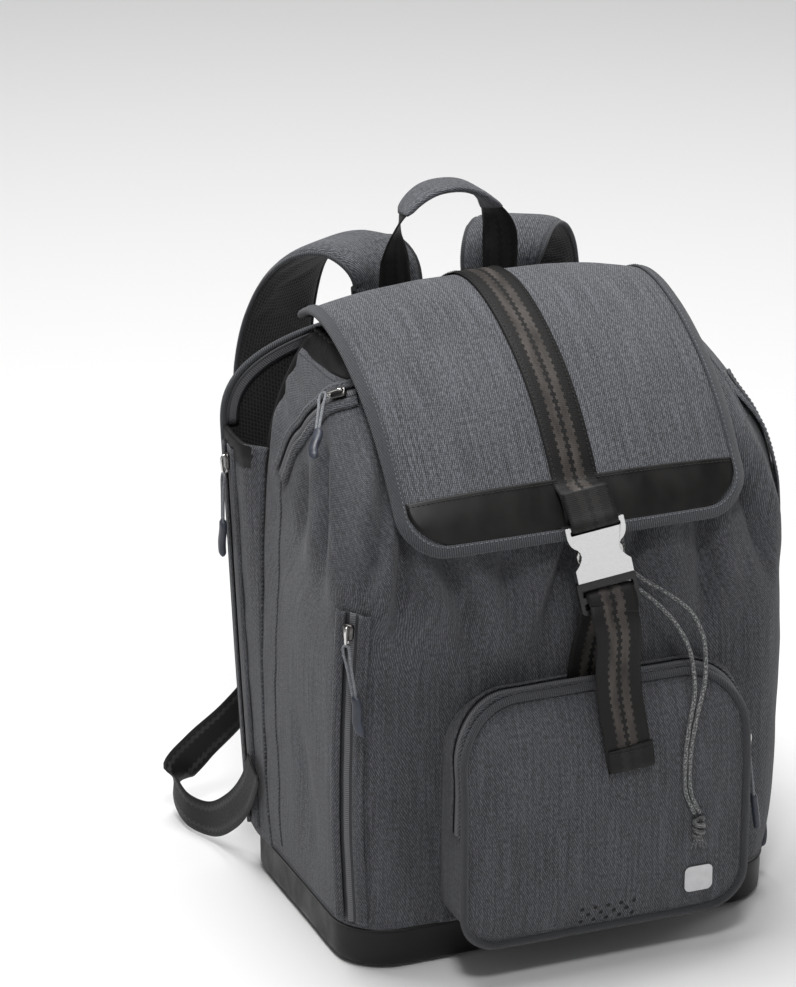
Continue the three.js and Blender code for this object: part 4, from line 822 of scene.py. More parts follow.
def gusset_point(q, across, lift=0.0):
    """across 0 at the divider, 1 at the back panel."""
    x, z = sleeve_outline(q, 1.1 - lift)
    if q <= 1:
        x = lerp(-half_width(z) + 0.4, x, smoothstep(across, -0.05, 0.3))
    elif q >= 2:
        x = lerp(half_width(z) - 0.4, x, smoothstep(across, -0.05, 0.3))
    y0, y1 = divider_y(z) + (0.6 if q <= 1 or q >= 2 else 5.8), back_y(z) - GAP
    bulge = 1.5 * math.sin(across * math.pi) * math.copysign(1, x)
    crease = wobble(z, 40 * across, x, 34, 6.3) + 0.5 * wobble(z, 60 * across, x, 13, 2.3)
    return np.array((x + bulge + 0.9 * crease * math.sin(across * math.pi) * math.copysign(1, x),
        lerp(y0, y1, across), z))


def gusset(name, qs, node):
    rows = [[gusset_point(q, k) for k in np.linspace(0, 1, 13)] for q in qs]
    made = grid(name, rows, [GREY_TWILL, LINING], "bag", [node], thickness=2.0, proud=0.5)
    made.modifiers["thickness"].material_offset = 1


gusset("sleeve_side_left", np.linspace(0, 1, 70), "racket_gusset_left")
MOUTH_END = 1.56
gusset("sleeve_side_right", np.concatenate([np.linspace(3, 2, 70)[:-1], np.linspace(2, MOUTH_END, 50)]),
    "racket_gusset_right")
hem_rows = [[gusset_point(0.945 + 0.055 * t, k, lift) for k in np.linspace(-0.02, 0.99, 16)]
            for t, lift in ((0, 1.5), (0.5, 1.9), (0.9, 1.8), (1.0, 0.8), (0.99, -1.4), (0.5, -1.8),
            (0, -1.6))]
mouth_hem = grid("mouth_hem", hem_rows, COLLAR_CLOTH, "bag", (), thickness=0.5, proud=0.5)


def outline_rows(inset, y_of, foot=BOOT_HEIGHT + GAP):
    rows = []
    for q in [*np.linspace(0, 1, 40), *np.linspace(1.03, 1.495, 26)]:
        x, z = sleeve_outline(q, inset)
        z = max(z, foot)
        rows.append([(k * abs(x), y_of(k * abs(x), z), z) for k in np.linspace(-1, 1, 61)])
    return rows


back = grid("back_cloth", outline_rows(0.4, lambda x, z: back_y(z) + 3.6 + 0.35 * wobble(x, z, 0, 30)),
    MESH_CLOTH, "bag",
            ["back_panel"], thickness=3.4, middle=(0, 0, 200))
edge_line = [(*(np.array(sleeve_outline(q, 0.2)) * (1, 0)), sleeve_outline(q, 0.2)[1])
    for q in np.linspace(0, 3, 260) if abs(q - 1.5) > 0.004]
edge_path = [np.array((x[0], back_y(x[-1]) + 1.6, x[-1])) for x in edge_line]
back_binding = tube("back_binding", spaced(edge_path, 260), 2.3, BINDING, "bag", (), 10)

divider_rows = []
for z in [*np.linspace(BOOT_HEIGHT + 0.4, 340, 50), *np.linspace(345, 391, 12)]:
    half = half_width(z) - 0.2
    divider_rows.append([(k * half, divider_y(z) + 1.0 + 0.5 * wobble(k * half, z, 0, 40), z)
        for k in np.linspace(-1, 1, 61)])
divider = grid("divider_cloth", divider_rows, COLLAR_CLOTH, "bag", ["divider_panel"], thickness=4,
    middle=(0, 300, 200))

# The open stretch of the sleeve's zip: a strip of its tape along the back of the mouth.
strip = []
for q in np.linspace(1.0, 1.49, 40):
    top, low = sleeve_outline(q, 1.6), sleeve_outline(q, 10.0)
    across = [(lerp(top[0], low[0], t), lerp(top[1], low[1], t)) for t in (0, 0.25, 0.5, 0.75, 1)]
    strip.append([(x, back_y(z) - 1.2, z) for x, z in across])
mouth_tape = grid("mouth_tape", strip, TAPE_CLOTH, "bag", (), thickness=0.9, proud=0.5)

# ---- Back pads ------------------------------------------------------------------------------------
def swell(piece, swollen, limit):
    """Fills a closed piece with air for twenty steps of cloth, and leaves the result in its mesh."""
    before = np.array([v.co for v in piece.data.vertices])
    cloth = piece.modifiers.new("fill", "CLOTH")
    cloth.settings.use_pressure = True
    cloth.settings.uniform_pressure_force = 4
    cloth.settings.effector_weights.gravity = 0
    cloth.settings.quality = 5
    cloth.point_cache.frame_start, cloth.point_cache.frame_end = 1, 20
    scene = bpy.context.scene
    for frame_number in range(1, 21):
        scene.frame_set(frame_number)
    after = piece.evaluated_get(bpy.context.evaluated_depsgraph_get()).data
    moved = np.array([v.co for v in after.vertices]) - before
    piece.modifiers.remove(cloth)
    scene.frame_set(1)
    far = np.linalg.norm(moved, axis=1, keepdims=True)
    moved *= np.minimum(1, limit * MM / np.maximum(far, 1e-9)) * swollen
    piece.data.vertices.foreach_set("co", (before + moved).astype(np.float32).ravel())
    piece.data.update()


PAD = {"x0": 8, "x1": 138, "z0": 45, "z1": 330}


def pad_point(side, k, t, out):
    """k across and t up the pad, each -1 to 1, on its rounded outline."""
    wide, tall = (PAD["x1"] - PAD["x0"]) / 2 - 1.5, (PAD["z1"] - PAD["z0"]) / 2 - 1.5
    reach = (1 - abs(t) ** 7) ** (1 / 3.2)
    x = side * ((PAD["x0"] + PAD["x1"]) / 2 + k * wide * max(reach, 0.45))
    z = (PAD["z0"] + PAD["z1"]) / 2 + t * tall
    return np.array((x, back_y(z) + 4.4 + out, z))


def pad_height(k, t):
    rim = (1 - min(abs(k), 1) ** 5) * (1 - min(abs(t), 1) ** 12)
    groove = sum(math.exp(-((t - g - 0.12 * abs(k)) / 0.022) ** 2) for g in (-0.58, -0.18, 0.22, 0.6))
    return 1.6 + 7.8 * max(rim, 0) ** 0.45 - 3.6 * groove * max(rim, 0)


for label, side in (("left", -1), ("right", 1)):
    ks, ts = np.linspace(-1, 1, 41), np.linspace(-1, 1, 91)
    front_rows = [[pad_point(side, k, t, 0.3) for k in ks[::-1]] for t in ts]
    outer_rows = [[pad_point(side, k, t, pad_height(k, t)) for k in ks] for t in ts]
    rows = [list(a) + list(b) for a, b in zip(outer_rows, front_rows)]
    pad = grid(f"lumbar_pad_{label}", rows, MESH_CLOTH, None, (), around=True, capped=True)
    swell(pad, 0.8, 2.2)
    pad.modifiers.new("soften", "SUBSURF").levels = 1
    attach(pad, "bag")
    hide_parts(f"back_pad_{label}")


# ---- Front pocket -----------------------------------------------------------------------------------
pocket_front = profile([(31, -134), (60, -137), (130, -137), (165, -133), (196, -122)])


def pocket_outline(grow=0.0, count=240):
    """The pocket's outline in x, z, anticlockwise from the foot's right end, as seen from the front."""
    x0, x1 = POCKET["x"] - POCKET["half"] - grow, POCKET["x"] + POCKET["half"] + grow
    z0, z1 = POCKET["foot"] - grow, POCKET["top"] + grow
    rf, rt = POCKET["foot_radius"] + grow, POCKET["top_radius"] + grow
    points = []
    for cx, cz, r, start in ((x1 - rf, z0 + rf, rf, 3), (x1 - rt, z1 - rt, rt, 0),
        (x0 + rt, z1 - rt, rt, 1), (x0 + rf, z0 + rf, rf, 2)):
        for k in range(15):
            a = (start + k / 14) * math.pi / 2
            points.append((cx + r * math.cos(a), cz + r * math.sin(a)))
    return spaced([*points, points[0]], count + 1)[:-1]


def flare_at(x):
    return POCKET["flare"] * smoothstep(x, POCKET["x"] + 40, POCKET["x"] + POCKET["half"] - 10)


rim = pocket_outline()
rim_out = np.roll(rim, -1, 0) - np.roll(rim, 1, 0)
rim_out = np.stack([rim_out[:, 1], -rim_out[:, 0]], 1)
rim_out /= np.linalg.norm(rim_out, axis=1, keepdims=True)


def gusset_of_pocket(i, depth, lift=0.0):
    """depth 0 at the face's edge, 1 at the bag."""
    (x, z), out = rim[i], rim_out[i]
    back = body_front_y(x + flare_at(x), z) + 0.8
    y = lerp(pocket_front(z), back, depth)
    sag = 0.9 * wobble(x, 40 * depth, z, 30, 4.1) * math.sin(depth * math.pi)
    return np.array((x + flare_at(x) * depth + out[0] * (lift + sag), y, z + out[1] * (lift + sag)))


pocket_side = grid(
    "pocket_side", [[gusset_of_pocket(i, d) for d in np.linspace(0, 1, 12)] for i in range(len(rim))],
    [GREY_TWILL, LINING],
    "bag", ["pocket_gusset"], looped=True, thickness=2.0, proud=0.15, middle=(4, -60, 110),
)


def pocket_half_at(z):
    foot_in = POCKET["foot"] + POCKET["foot_radius"] - z
    top_in = z - POCKET["top"] + POCKET["top_radius"]
    r, into = (POCKET["foot_radius"], foot_in) if z < 110 else (POCKET["top_radius"], top_in)
    return POCKET["half"] if into <= 0 else POCKET["half"] - r + math.sqrt(max(r * r - into * into, 0))


def face_point(x, z, lift=0.0):
    """The pocket's outer face: fuller in its middle, drawn in at its seam, with a soft uneven hang."""
    half = pocket_half_at(z)
    k = min(abs(x - POCKET["x"]) / half, 1)
    rise = min((z - POCKET["foot"]) / 24, (POCKET["top"] - z) / 24, 1)
    full = (1 - k**6) * max(rise, 0) ** 0.5
    soft = 0.7 * wobble(x, 0, z, 58, 1.7) + 0.3 * wobble(x, 0, z, 22, 9.2)
    return np.array((x, pocket_front(z) - 1.4 - 4.2 * full - soft * full - lift, z))


face_rows = []
for t in np.linspace(0, 1, 80):
    z = lerp(POCKET["foot"] + 0.6, POCKET["top"] - 0.6, 0.5 - 0.5 * math.cos(t * math.pi))
    half = pocket_half_at(z) - 0.5
    face_rows.append([face_point(POCKET["x"] + math.sin(k * math.pi / 2) * half, z)
        for k in np.linspace(-1, 1, 80)])
face = grid("pocket_front_cloth", face_rows, [GREY_TWILL, LINING], "bag", ["pocket_face"], thickness=1.8,
    middle=(4, -60, 110))
piping_path = [np.array((x + o[0] * 1.9, pocket_front(z) - 2.3, z + o[1] * 1.9)) for (x, z),
    o in zip(rim, rim_out)]
piping = tube("pocket_edge_piping", piping_path, 2.6, PIPING, "bag", ["pocket_piping"], 12, looped=True)

# Vent eyelets through the face: three staggered rows.
VENT = {"left": -13, "right": 24, "rows": ((46, 5, 0), (41, 4, 1), (36, 5, 0)), "radius": 1.15}
vents = []
pitch = (VENT["right"] - VENT["left"]) / 4
for z, count, shift in VENT["rows"]:
    for k in range(count):
        vents.append((VENT["left"] + (k + 0.5 * shift) * pitch, z))
for index, (x, z) in enumerate(vents):
    turns = [2 * math.pi * k / 14 for k in range(14)]
    rows = []
    for r, lift in ((VENT["radius"] + 0.35, 0.02), (VENT["radius"] + 0.1, 0.3), (VENT["radius"], 0.18),
        (0.7, 0.12), (0.05, 0.1)):
        rows.append([face_point(x + r * math.cos(a), z + r * math.sin(a), lift) for a in turns])
    vent = grid(f"vent_{index}", rows, BOOT_CLOTH, "bag", (), around=True)

# ---- Zips -------------------------------------------------------------------------------------------
SLIDER_LENGTH, PULL_DROP, PULL_LENGTH = 12, 3.4, 34


def zip_on_shell(name, keys, node, open_half=6.5):
    """Tape with its coil, in a slot between two folded lips that are stitched down."""
    places = line([(s * 100, z, 0) for s, z in keys], 110)
    path = np.array([shell_point(s / 100, z, 0.3) for s, z, _ in places])
    outs = np.array([body_normal(s / 100, z) for s, z, _ in places])
    side = np.cross(np.gradient(path, axis=0), outs)
    side /= np.linalg.norm(side, axis=1, keepdims=True)
    profile_at = [(-open_half - 1, 0.2), (-3, 0.35), (-2.3, 0.6), (-1.1, 1.5), (0, 1.75), (1.1, 1.5),
        (2.3, 0.6), (3, 0.35), (open_half + 1, 0.2)]
    rows = [[p + s * a + o * h for a, h in profile_at] for p, s, o in zip(path, side, outs)]
    tape = grid(f"{name}_coil_tape", rows, TAPE_CLOTH, "bag", [node], thickness=0.8, proud=0.0)
    for label, sign in (("a", -1), ("b", 1)):
        lip = [(open_half - 1.2, 0.9), (open_half - 1.5, 1.6), (open_half - 0.6, 2.2),
            (open_half + 2.5, 2.3), (open_half + 5, 1.7), (open_half + 6.2, 0.3)]
        rows = [[p + s * sign * a + o * h for a, h in lip] for p, s, o in zip(path, side, outs)]
        welt = grid(f"{name}_lip_{label}", rows, GREY_TWILL, "bag", (), thickness=0.5, proud=0.2)
        stitch = path + side * sign * (open_half + 2.2) + outs * 2.45
        beads(f"{name}_lip_stitches_{label}", [(stitch, outs)], THREAD)
    return path, side, outs


SIDE_KEYS = [(1.39, 34), (1.39, 90), (1.39, 150), (1.4, 205), (1.42, 240), (1.43, 256)]
RIGHT_KEYS = [(3.66, 362), (3.78, 340), (3.9, 310), (4.04, 262), (4.1, 180), (4.1, 110), (4.1, 70)]
zip_on_shell("side_zip", SIDE_KEYS, "side_zip_tape")
zip_on_shell("access_zip", ACCESS_KEYS, "access_zip_tape", 5.5)
zip_on_shell("right_zip", RIGHT_KEYS, "right_zip_tape", 5.5)


def tape_rows(path, side, outs, half=8.5):
    shape = [(-half, 0.1), (-3, 0.2), (-2.3, 0.45), (-1.1, 1.3), (0, 1.55), (1.1, 1.3), (2.3, 0.45),
        (3, 0.2), (half, 0.1)]
    return [[p + s * a + o * h for a, h in shape] for p, s, o in zip(path, side, outs)]


racket_path, racket_out = [], []
for q in np.linspace(0.02, 0.97, 80):
    x, z = sleeve_outline(q)
    racket_path.append((x - 1.6, back_y(z) - GAP - 13, z))
    racket_out.append((-1.0, 0, 0))
racket_path, racket_out = np.array(racket_path), np.array(racket_out)
racket_tape = grid("racket_zip_coil_tape",
    tape_rows(racket_path, np.tile((0, 1.0, 0), (80, 1)), racket_out), TAPE_CLOTH, "bag",
                   ["racket_zip_tape"], thickness=0.8, proud=0.0)
for label, sign in (("a", -1), ("b", 1)):
    rows = [[p + np.array((0, sign * a, 0)) + o * h for a,
        h in ((5.2, 0.9), (5.0, 1.8), (6, 2.2), (9, 1.9), (10.5, 0.2))]
            for p, o in zip(racket_path, racket_out)]
    lip = grid(f"racket_zip_lip_{label}", rows, GREY_TWILL, "bag", (), thickness=0.5, proud=0.2)

POCKET_TAPE = {"depth": 12, "foot": 108}
pocket_path, pocket_side_dir, pocket_outs = [], [], []
start = int(np.argmin(np.hypot(rim[:, 0] - (POCKET["x"] + POCKET["half"]), rim[:, 1] - POCKET_TAPE["foot"])))
end = int(np.argmin(np.hypot(rim[:, 0] - (POCKET["x"] - POCKET["half"]), rim[:, 1] - POCKET_TAPE["foot"])))
for i in range(start, end + 1):
    room = body_front_y(rim[i][0] + flare_at(rim[i][0]), rim[i][1]) - pocket_front(rim[i][1])
    share = POCKET_TAPE["depth"] / room
    here, deeper = gusset_of_pocket(i, share, 0.9), gusset_of_pocket(i, share + 0.05, 0.9)
    pocket_path.append(here)
    pocket_side_dir.append(unit(deeper - here))
    pocket_outs.append(unit((rim_out[i][0], -0.25 * (rim_out[i][0] > 0.3), rim_out[i][1])))
pocket_tape = grid("pocket_zip_coil_tape", tape_rows(pocket_path, pocket_side_dir, pocket_outs, 6.5),
    TAPE_CLOTH, "bag",
                   ["pocket_zip_tape"], thickness=0.8, proud=0.0, middle=(4, -60, 110))
for label, sign in (("a", -1), ("b", 1)):
    rows = [[p + s * sign * a + np.array(o) * h for a,
        h in ((4.6, 0.7), (4.4, 1.5), (5.2, 1.9), (7.4, 1.6), (8.4, 0.1))]
            for p, s, o in zip(pocket_path, pocket_side_dir, pocket_outs)]
    lip = grid(f"pocket_zip_lip_{label}", rows, GREY_TWILL, "bag", (), thickness=0.5, proud=0.2,
        middle=(4, -60, 110))


def zip_pull(name, at, up, out, hang, grip=True):
    """A braided loop through the slider's bridge and its wavy rubber grip, hanging from the slider."""
    up = unit(up)
    across = unit(np.cross(up, out))
    out = np.cross(across, up)
    high = -unit(hang)
    pull_across = unit(np.cross(high, out))
    pull_out = unit(np.cross(pull_across, high))
    hinge = np.asarray(at) - up * (SLIDER_LENGTH / 2 + PULL_DROP) + out * 2.6

    def place(x, y, z=0.0):
        return hinge + pull_across * x + high * y + pull_out * z

    foot = 1.2 - PULL_LENGTH
    loop = [(-1.1, foot, 0), (-1.25, foot + 8, 0.1), (-1.6, -12, 0.3), (-2.3, -4, 0.3), (-1.9, 0.2, 0),
        (0, 1.5, 0),
            (1.9, 0.2, 0), (2.3, -4, 0.3), (1.6, -12, 0.3), (1.25, foot + 8, 0.1), (1.1, foot, 0)]
    body = f"{name}_pull"
    rows = []
    for height, grow in ((-2.2, -0.8), (-1.9, 0), (0.3, 0), (0.8, -0.6), (0.9, -2.6)):
        ring = []
        for a in np.linspace(0, 2 * math.pi, 28, endpoint=False):
            x, y = math.copysign(abs(math.cos(a)) ** 0.6,
                math.cos(a)), math.copysign(abs(math.sin(a)) ** 0.6, math.sin(a))
            wide = 3.4 + 0.8 * (y > 0) * y
            ring.append(np.asarray(at) + across * x * (wide + grow) + up * y * (5.6 + grow) + out * height)
        rows.append(ring)
    slider = grid(f"{name}_slider_body", rows, DARK_METAL, f"{name}_slider", [f"{name}_slider"],
        around=True, capped=True)
    bridge = [np.asarray(at) + up * y + out * h for y, h in
              ((4.2, 0.4), (3.9, 2.0), (2.4, 3.1), (0, 3.4), (-2.6, 3.2), (-5.6, 3.0), (-7.6, 2.2),
              (-8.2, 0.9), (-7.4, -0.2), (-5.2, 0))]
    wire = tube(f"{name}_slider_bridge", line(bridge, 40), 0.85, STEEL, f"{name}_slider", (), 10)
    cord_piece = tube(f"{name}_pull_cord", line([place(*p) for p in loop], 60), 0.95, PULL_CLOTH, body,
        [f"{name}_pull"], 8)
    rows = []
    for t in np.linspace(0, 1, 34):
        y = foot + 1.5 - 28 * t
        lean = 1.0 * math.sin(t * 2 * math.pi * 1.15)
        end = min(1, (min(t, 1 - t) * 28 / 3.0 + 0.02)) ** 0.5
        wide, thick = 3.55 * end * (0.82 + 0.18 * math.sin(t * math.pi)), 2.4 * end
        turns = [2 * math.pi * k / 18 for k in range(18)]
        rows.append([place(lean + wide * abs(math.cos(a)) ** 0.8 * math.copysign(1, math.cos(a)),
                           y, thick * abs(math.sin(a)) ** 0.8 * math.copysign(1, math.sin(a)))
                           for a in turns])
    made = grid(f"{name}_pull_grip", rows, GRIP_RUBBER, body, [f"{name}_grip"] if grip else (), around=True,
        capped=True)


def on_tape(point, normal, extra):
    return point + normal * (1.1 + 1 + 0.4 + extra)


side_top, side_normal = body_point(1.42, 244), body_normal(1.42, 244)
zip_pull("side_zip", on_tape(side_top, side_normal, 3.4), side_top - body_point(1.39, 56), side_normal,
    (0.1, -0.2, -1))
access_top, access_normal = body_point(1.26, 373.4), body_normal(1.26, 373.4)
zip_pull("access_zip", on_tape(access_top, access_normal, 1.8), body_point(1.38, 376) - body_point(1.1, 370),
         access_normal, unit(body_point(1.3, 338) - access_top) + access_normal * 0.3)


def racket_point(q):
    x, z = sleeve_outline(q)
    return np.array((x - 1.4, back_y(z) - GAP - 13, z))


zip_pull("racket_zip", racket_point(0.93) + (-3.1, 0, 0), racket_point(0.93) - racket_point(0.2),
    (-1, 0, 0), (-0.01, 0.05, -1))
pocket_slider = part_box("pocket_zip_slider")
pocket_at = (pocket_slider[0] + pocket_slider[1]) / 2 / MM
pocket_out = unit((0.93, -0.36, 0))
zip_pull("pocket_zip", np.array(pocket_at) - pocket_out * 2.3, (0, 0, 1), pocket_out, (0.14, 0, -1))
right_normal = body_normal(4.1, 86)
zip_pull("right_zip", on_tape(body_point(4.1, 86), right_normal, 0.4),
    body_point(4.1, 180) - body_point(4.1, 86), right_normal,
         (0, 0, -1), grip=False)

# ---- Flap ---------------------------------------------------------------------------------------------
FLAP_LINE = [
    (0, 116, 389.5), (0, 105, 398), (0, 92, 405.5), (0, 78, 413), (0, 62, 419), (0, 45, 421),
    (0, 18, 417.5), (0, -16, 404.5),
    (0, -49, 384), (0, -73, 361.5), (0, -94, 335), (0, -107.5, 316), (0, -115, 297),
]
flap_middle = line(FLAP_LINE, 400)
FLAP_LENGTH = length_of(flap_middle)
FLAP_X, FLAP_HALF, FLAP_CORNER = -4, 120, 30
flap_tangents = np.gradient(flap_middle, axis=0)
flap_tangents /= np.linalg.norm(flap_tangents, axis=1, keepdims=True)
flap_droop = profile([(0, 12), (0.2, 12), (0.45, 12), (0.8, 10), (1, 11)])


def flap_point(across, along, lift=0.0):
    """across: distance from the flap's middle line; along: distance from the back seam."""
    place = min(max(along / FLAP_LENGTH, 0), 1) * 399
    i = min(int(place), 398)
    middle = lerp(flap_middle[i], flap_middle[i + 1], place - i)
    tangent = unit(lerp(flap_tangents[i], flap_tangents[i + 1], place - i))
    out = unit((0, tangent[2], -tangent[1]))
    droop = flap_droop(along / FLAP_LENGTH) * min(abs(across / FLAP_HALF), 1) ** 3.2
    free = smoothstep(abs(across), 24, 60)
    soft = free * (1.1 * wobble(across, along, 0, 70, 5.5) + 0.4 * wobble(across, along, 0, 26, 1.4))
    beyond = max(along - FLAP_LENGTH, 0) + min(along, 0)
    return middle + tangent * beyond + out * (lift - droop + soft) + (FLAP_X + across, 0, 0)


def flap_out(across, along):
    a = flap_point(across + 1, along) - flap_point(across - 1, along)
    b = flap_point(across, along + 1) - flap_point(across, along - 1)
    n = unit(np.cross(a, b))
    return n if n[2] - n[1] > 0 else -n


def flap_reach(along):
    into = max(1 - along / 52, 0)
    back_reach = FLAP_HALF - 36 * (1 - math.sqrt(max(1 - into * into, 0)))
    corner = max(along - (FLAP_LENGTH - FLAP_CORNER), 0)
    return min(back_reach, FLAP_HALF - FLAP_CORNER + math.sqrt(max(FLAP_CORNER**2 - corner**2, 0)))


def crosses_crease(piece):
    """Cloth that runs from the bag over the fold onto the flap."""
    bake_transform(piece)


# The flap's twill is painted lighter for the top light on it.
flap_rows = []
for t in np.linspace(0, 1, 110):
    along = FLAP_LENGTH * (t if t < 0.9 else 0.9 + 0.1 * math.sin((t - 0.9) / 0.1 * math.pi / 2))
    reach = flap_reach(along)
    flap_rows.append([flap_point(math.copysign(abs(k) ** 0.92, k) * reach, along, -0.3)
        for k in np.linspace(-1, 1, 71)])
flap = grid("top_flap", flap_rows, [TOP_LIT_TWILL, LINING], None, (), thickness=2.1, middle=(0, 0, 250))
flap.modifiers["thickness"].material_offset = 1
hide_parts("flap_yoke", "flap_panel")
crosses_crease(flap)

# Its bound edge: up one side from the back, round the front corners and back up the other side.
EDGE_START = 30
edge = [(-flap_reach(a), a) for a in np.linspace(EDGE_START, FLAP_LENGTH - FLAP_CORNER, 90)]
for k in range(1, 24):
    a = k / 24 * math.pi / 2
    edge.append((-(FLAP_HALF - FLAP_CORNER) - FLAP_CORNER * math.cos(a),
        FLAP_LENGTH - FLAP_CORNER + FLAP_CORNER * math.sin(a)))
edge += [(x, FLAP_LENGTH) for x in np.linspace(-(FLAP_HALF - FLAP_CORNER), 0, 30)]
edge = np.array(edge + [(-x, a) for x, a in edge[::-1][1:]])
edge_in = np.gradient(edge, axis=0)
edge_in = np.stack([edge_in[:, 1], -edge_in[:, 0]], 1) / np.linalg.norm(edge_in, axis=1, keepdims=True)
BIND_SHAPE = [(6.4, 0.1), (6.2, 1.0), (5.4, 1.4), (3.4, 1.6), (1.4, 1.8), (-0.3, 1.5), (-1.2, 0.6),
    (-1.4, -0.8), (-0.9, -2.1),
              (0.6, -2.9), (3, -3.1), (5, -2.9), (5.2, -2.4)]
bind_rows = [[flap_point(*(e + n * into), lift) for into, lift in BIND_SHAPE] for e, n in zip(edge, edge_in)]
bind = grid("flap_edge_binding", bind_rows, BINDING, None, (), thickness=0.5, proud=0.3, middle=(0, 0, 250))
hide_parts("flap_binding")
crosses_crease(bind)
inner = [e + n * 5.0 for e, n in zip(edge, edge_in)]
bind_stitches = beads("flap_binding_stitches",
    [([flap_point(*p, 1.6) for p in inner], [flap_out(*p) for p in inner])],
                      PALE_THREAD, None, 3.2, 2.1, 0.55)
crosses_crease(bind_stitches)

# The smooth black band across its front.
BAND = {"from": FLAP_LENGTH - 38, "to": FLAP_LENGTH - 6.2, "inset": 6.2}


def band_reach(along):
    corner = max(along + 6 - (FLAP_LENGTH - FLAP_CORNER), 0)
    reach = FLAP_HALF - FLAP_CORNER + math.sqrt(max(FLAP_CORNER**2 - corner**2, 0))
    return min(FLAP_HALF, reach) - BAND["inset"]


band_rows = []
for along in [BAND["from"] - 0.6, BAND["from"], *np.linspace(BAND["from"] + 1, BAND["to"], 26)]:
    lift = 0.1 if along < BAND["from"] else 0.9
    band_rows.append([flap_point(k * band_reach(along), along, lift) for k in np.linspace(-1, 1, 81)])
band_piece = grid("flap_band", band_rows, TRIM_CLOTH, "flap", ["flap_band_left", "flap_band_right"],
    thickness=0.6, proud=0.0,
                  middle=(0, 0, 250))
top_line = [(x, BAND["from"] + 2.2) for x in np.linspace(-band_reach(BAND["from"]),
    band_reach(BAND["from"]), 80)]
beads("flap_band_stitches", [([flap_point(*p, 1.1) for p in top_line], [flap_out(*p) for p in top_line])],
    BLACK_THREAD, "flap")
seam_line = [(x, 3.0) for x in np.linspace(-flap_reach(3) + 3, flap_reach(3) - 3, 80)]
beads("flap_seam_stitches", [([flap_point(*p, 0.1) for p in seam_line], [flap_out(*p) for p in seam_line])],
    THREAD, "bag")

# ---- Closure webbing and buckle -----------------------------------------------------------------------
along_webbing = unit((-0.137, 0.25, 0.958))
across_webbing = np.array((0.975, -0.14, 0.17))
across_webbing = unit(across_webbing - along_webbing * np.dot(across_webbing, along_webbing))
into_webbing = np.cross(along_webbing, across_webbing)
BUCKLE_AT = np.array((-3, -123.2, 310))


def on_buckle(x, y, z):
    """x across, y backwards and z up along the webbing, from the middle of the buckle's upper end."""
    return BUCKLE_AT + across_webbing * x + into_webbing * y + along_webbing * z


strap_keys = [flap_point(0, a, 1.9) for a in np.linspace(16, FLAP_LENGTH - 34, 12)]
strap_keys += [on_buckle(0, 6.4, 20), on_buckle(0, 1.5, 10)]
strap_sides = [(1, 0, 0)] * 12 + [tuple(across_webbing)] * 2
flap_webbing = ribbon("flap_webbing", strap_keys, strap_sides, 31.5, 1.5, WEBBING, None, (), 0.0, 150, 13)
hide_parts("flap_strap")
crosses_crease(flap_webbing)
for sign in (-1, 1):
    strap_edge = [(sign * 13.6, a) for a in np.linspace(18, FLAP_LENGTH - 36, 120)]
    made = beads(f"flap_webbing_stitches_{'a' if sign < 0 else 'b'}",
                 [([flap_point(*p, 2.0) for p in strap_edge], [flap_out(*p) for p in strap_edge])],
                 BLACK_THREAD, None)
    crosses_crease(made)

# The webbing's end wraps the housing's bar and is sewn to itself.
cuff = [(0, 0.2, 21), (0, -2.2, 15), (0, -5.4, 7), (0, -7.7, 2), (0, -8.0, -1), (0, -6.4, -3.4),
    (0, -2, -4.1), (0, 3, -4.0),
        (0, 7.1, -2.6), (0, 7.4, 1), (0, 5.6, 7), (0, 4.2, 14)]
cuff_piece = ribbon("buckle_webbing_cuff", [on_buckle(*p) for p in cuff],
    [tuple(across_webbing)] * len(cuff), 31, 1.3,
                    PLAIN_WEBBING, "flap", (), -0.65, 70, 13)
beads("buckle_cuff_stitches", [([on_buckle(x, -1.3, 17.6) for x in np.linspace(-14.5, 14.5, 20)],
    [-into_webbing] * 20)],
      BLACK_THREAD, "flap")

# The lower webbing climbs from the bag to the plug, threads its ladder and falls in front as the tail.
anchor_keys = [(4, -105.5, 192), (4, -107.8, 200), (4.5, -109.5, 212), (5, -115, 228), (5, -121, 240),
    (4.5, -126, 252),
               tuple(on_buckle(0.8, 5.2, -54))]
anchor = ribbon("anchor_webbing", anchor_keys, [(1, 0, 0)] * 7, 31, 1.4, WEBBING, "bag", ["anchor_strap"],
    -0.7, 60, 13)
tail_keys = [
    tuple(on_buckle(0.8, 4.4, -55)), tuple(on_buckle(0.8, 4.8, -50)), tuple(on_buckle(0.7, 3.6, -45.6)),
    tuple(on_buckle(0.6, 0, -44.2)), tuple(on_buckle(0.7, -3.8, -45.6)), tuple(on_buckle(0.9, -5.2, -49)),
    tuple(on_buckle(1.2, -5.4, -55)), (3.9, -144.6, 253), (5.5, -145.6, 247), (7.5, -144.8, 236),
    (8, -143.0, 214),
    (10, -143.0, 192), (13.5, -144.4, 170), (17.5, -144.8, 146),
]
tail_sides = [tuple(across_webbing)] * 7 + [(1, 0, 0.06)] * 7
tail = ribbon("tail_webbing", tail_keys, tail_sides, 31.5, 1.4, WEBBING, "plug", ["strap_tail"], -0.7, 120,
    13)
fold = [(17.2, -143.0, 160), (17.6, -142.6, 150), (17.9, -143.4, 144.4), (18.0, -145.6, 143.3),
    (17.9, -146.9, 145.2), (17.4, -146.4, 152),
        (16.4, -146.0, 160)]
tail_fold = ribbon("tail_sewn_end", fold, [(1, 0, 0.06)] * 7, 31.5, 1.2, PLAIN_WEBBING, "plug", (), -0.6,
    50, 13)
beads("tail_end_stitches", [([np.array((16.4 + k, -147.1, 157 + 0.06 * k))
    for k in np.linspace(-14.5, 14.5, 20)], [(0, -1.0, 0)] * 20)],
      BLACK_THREAD, "plug")

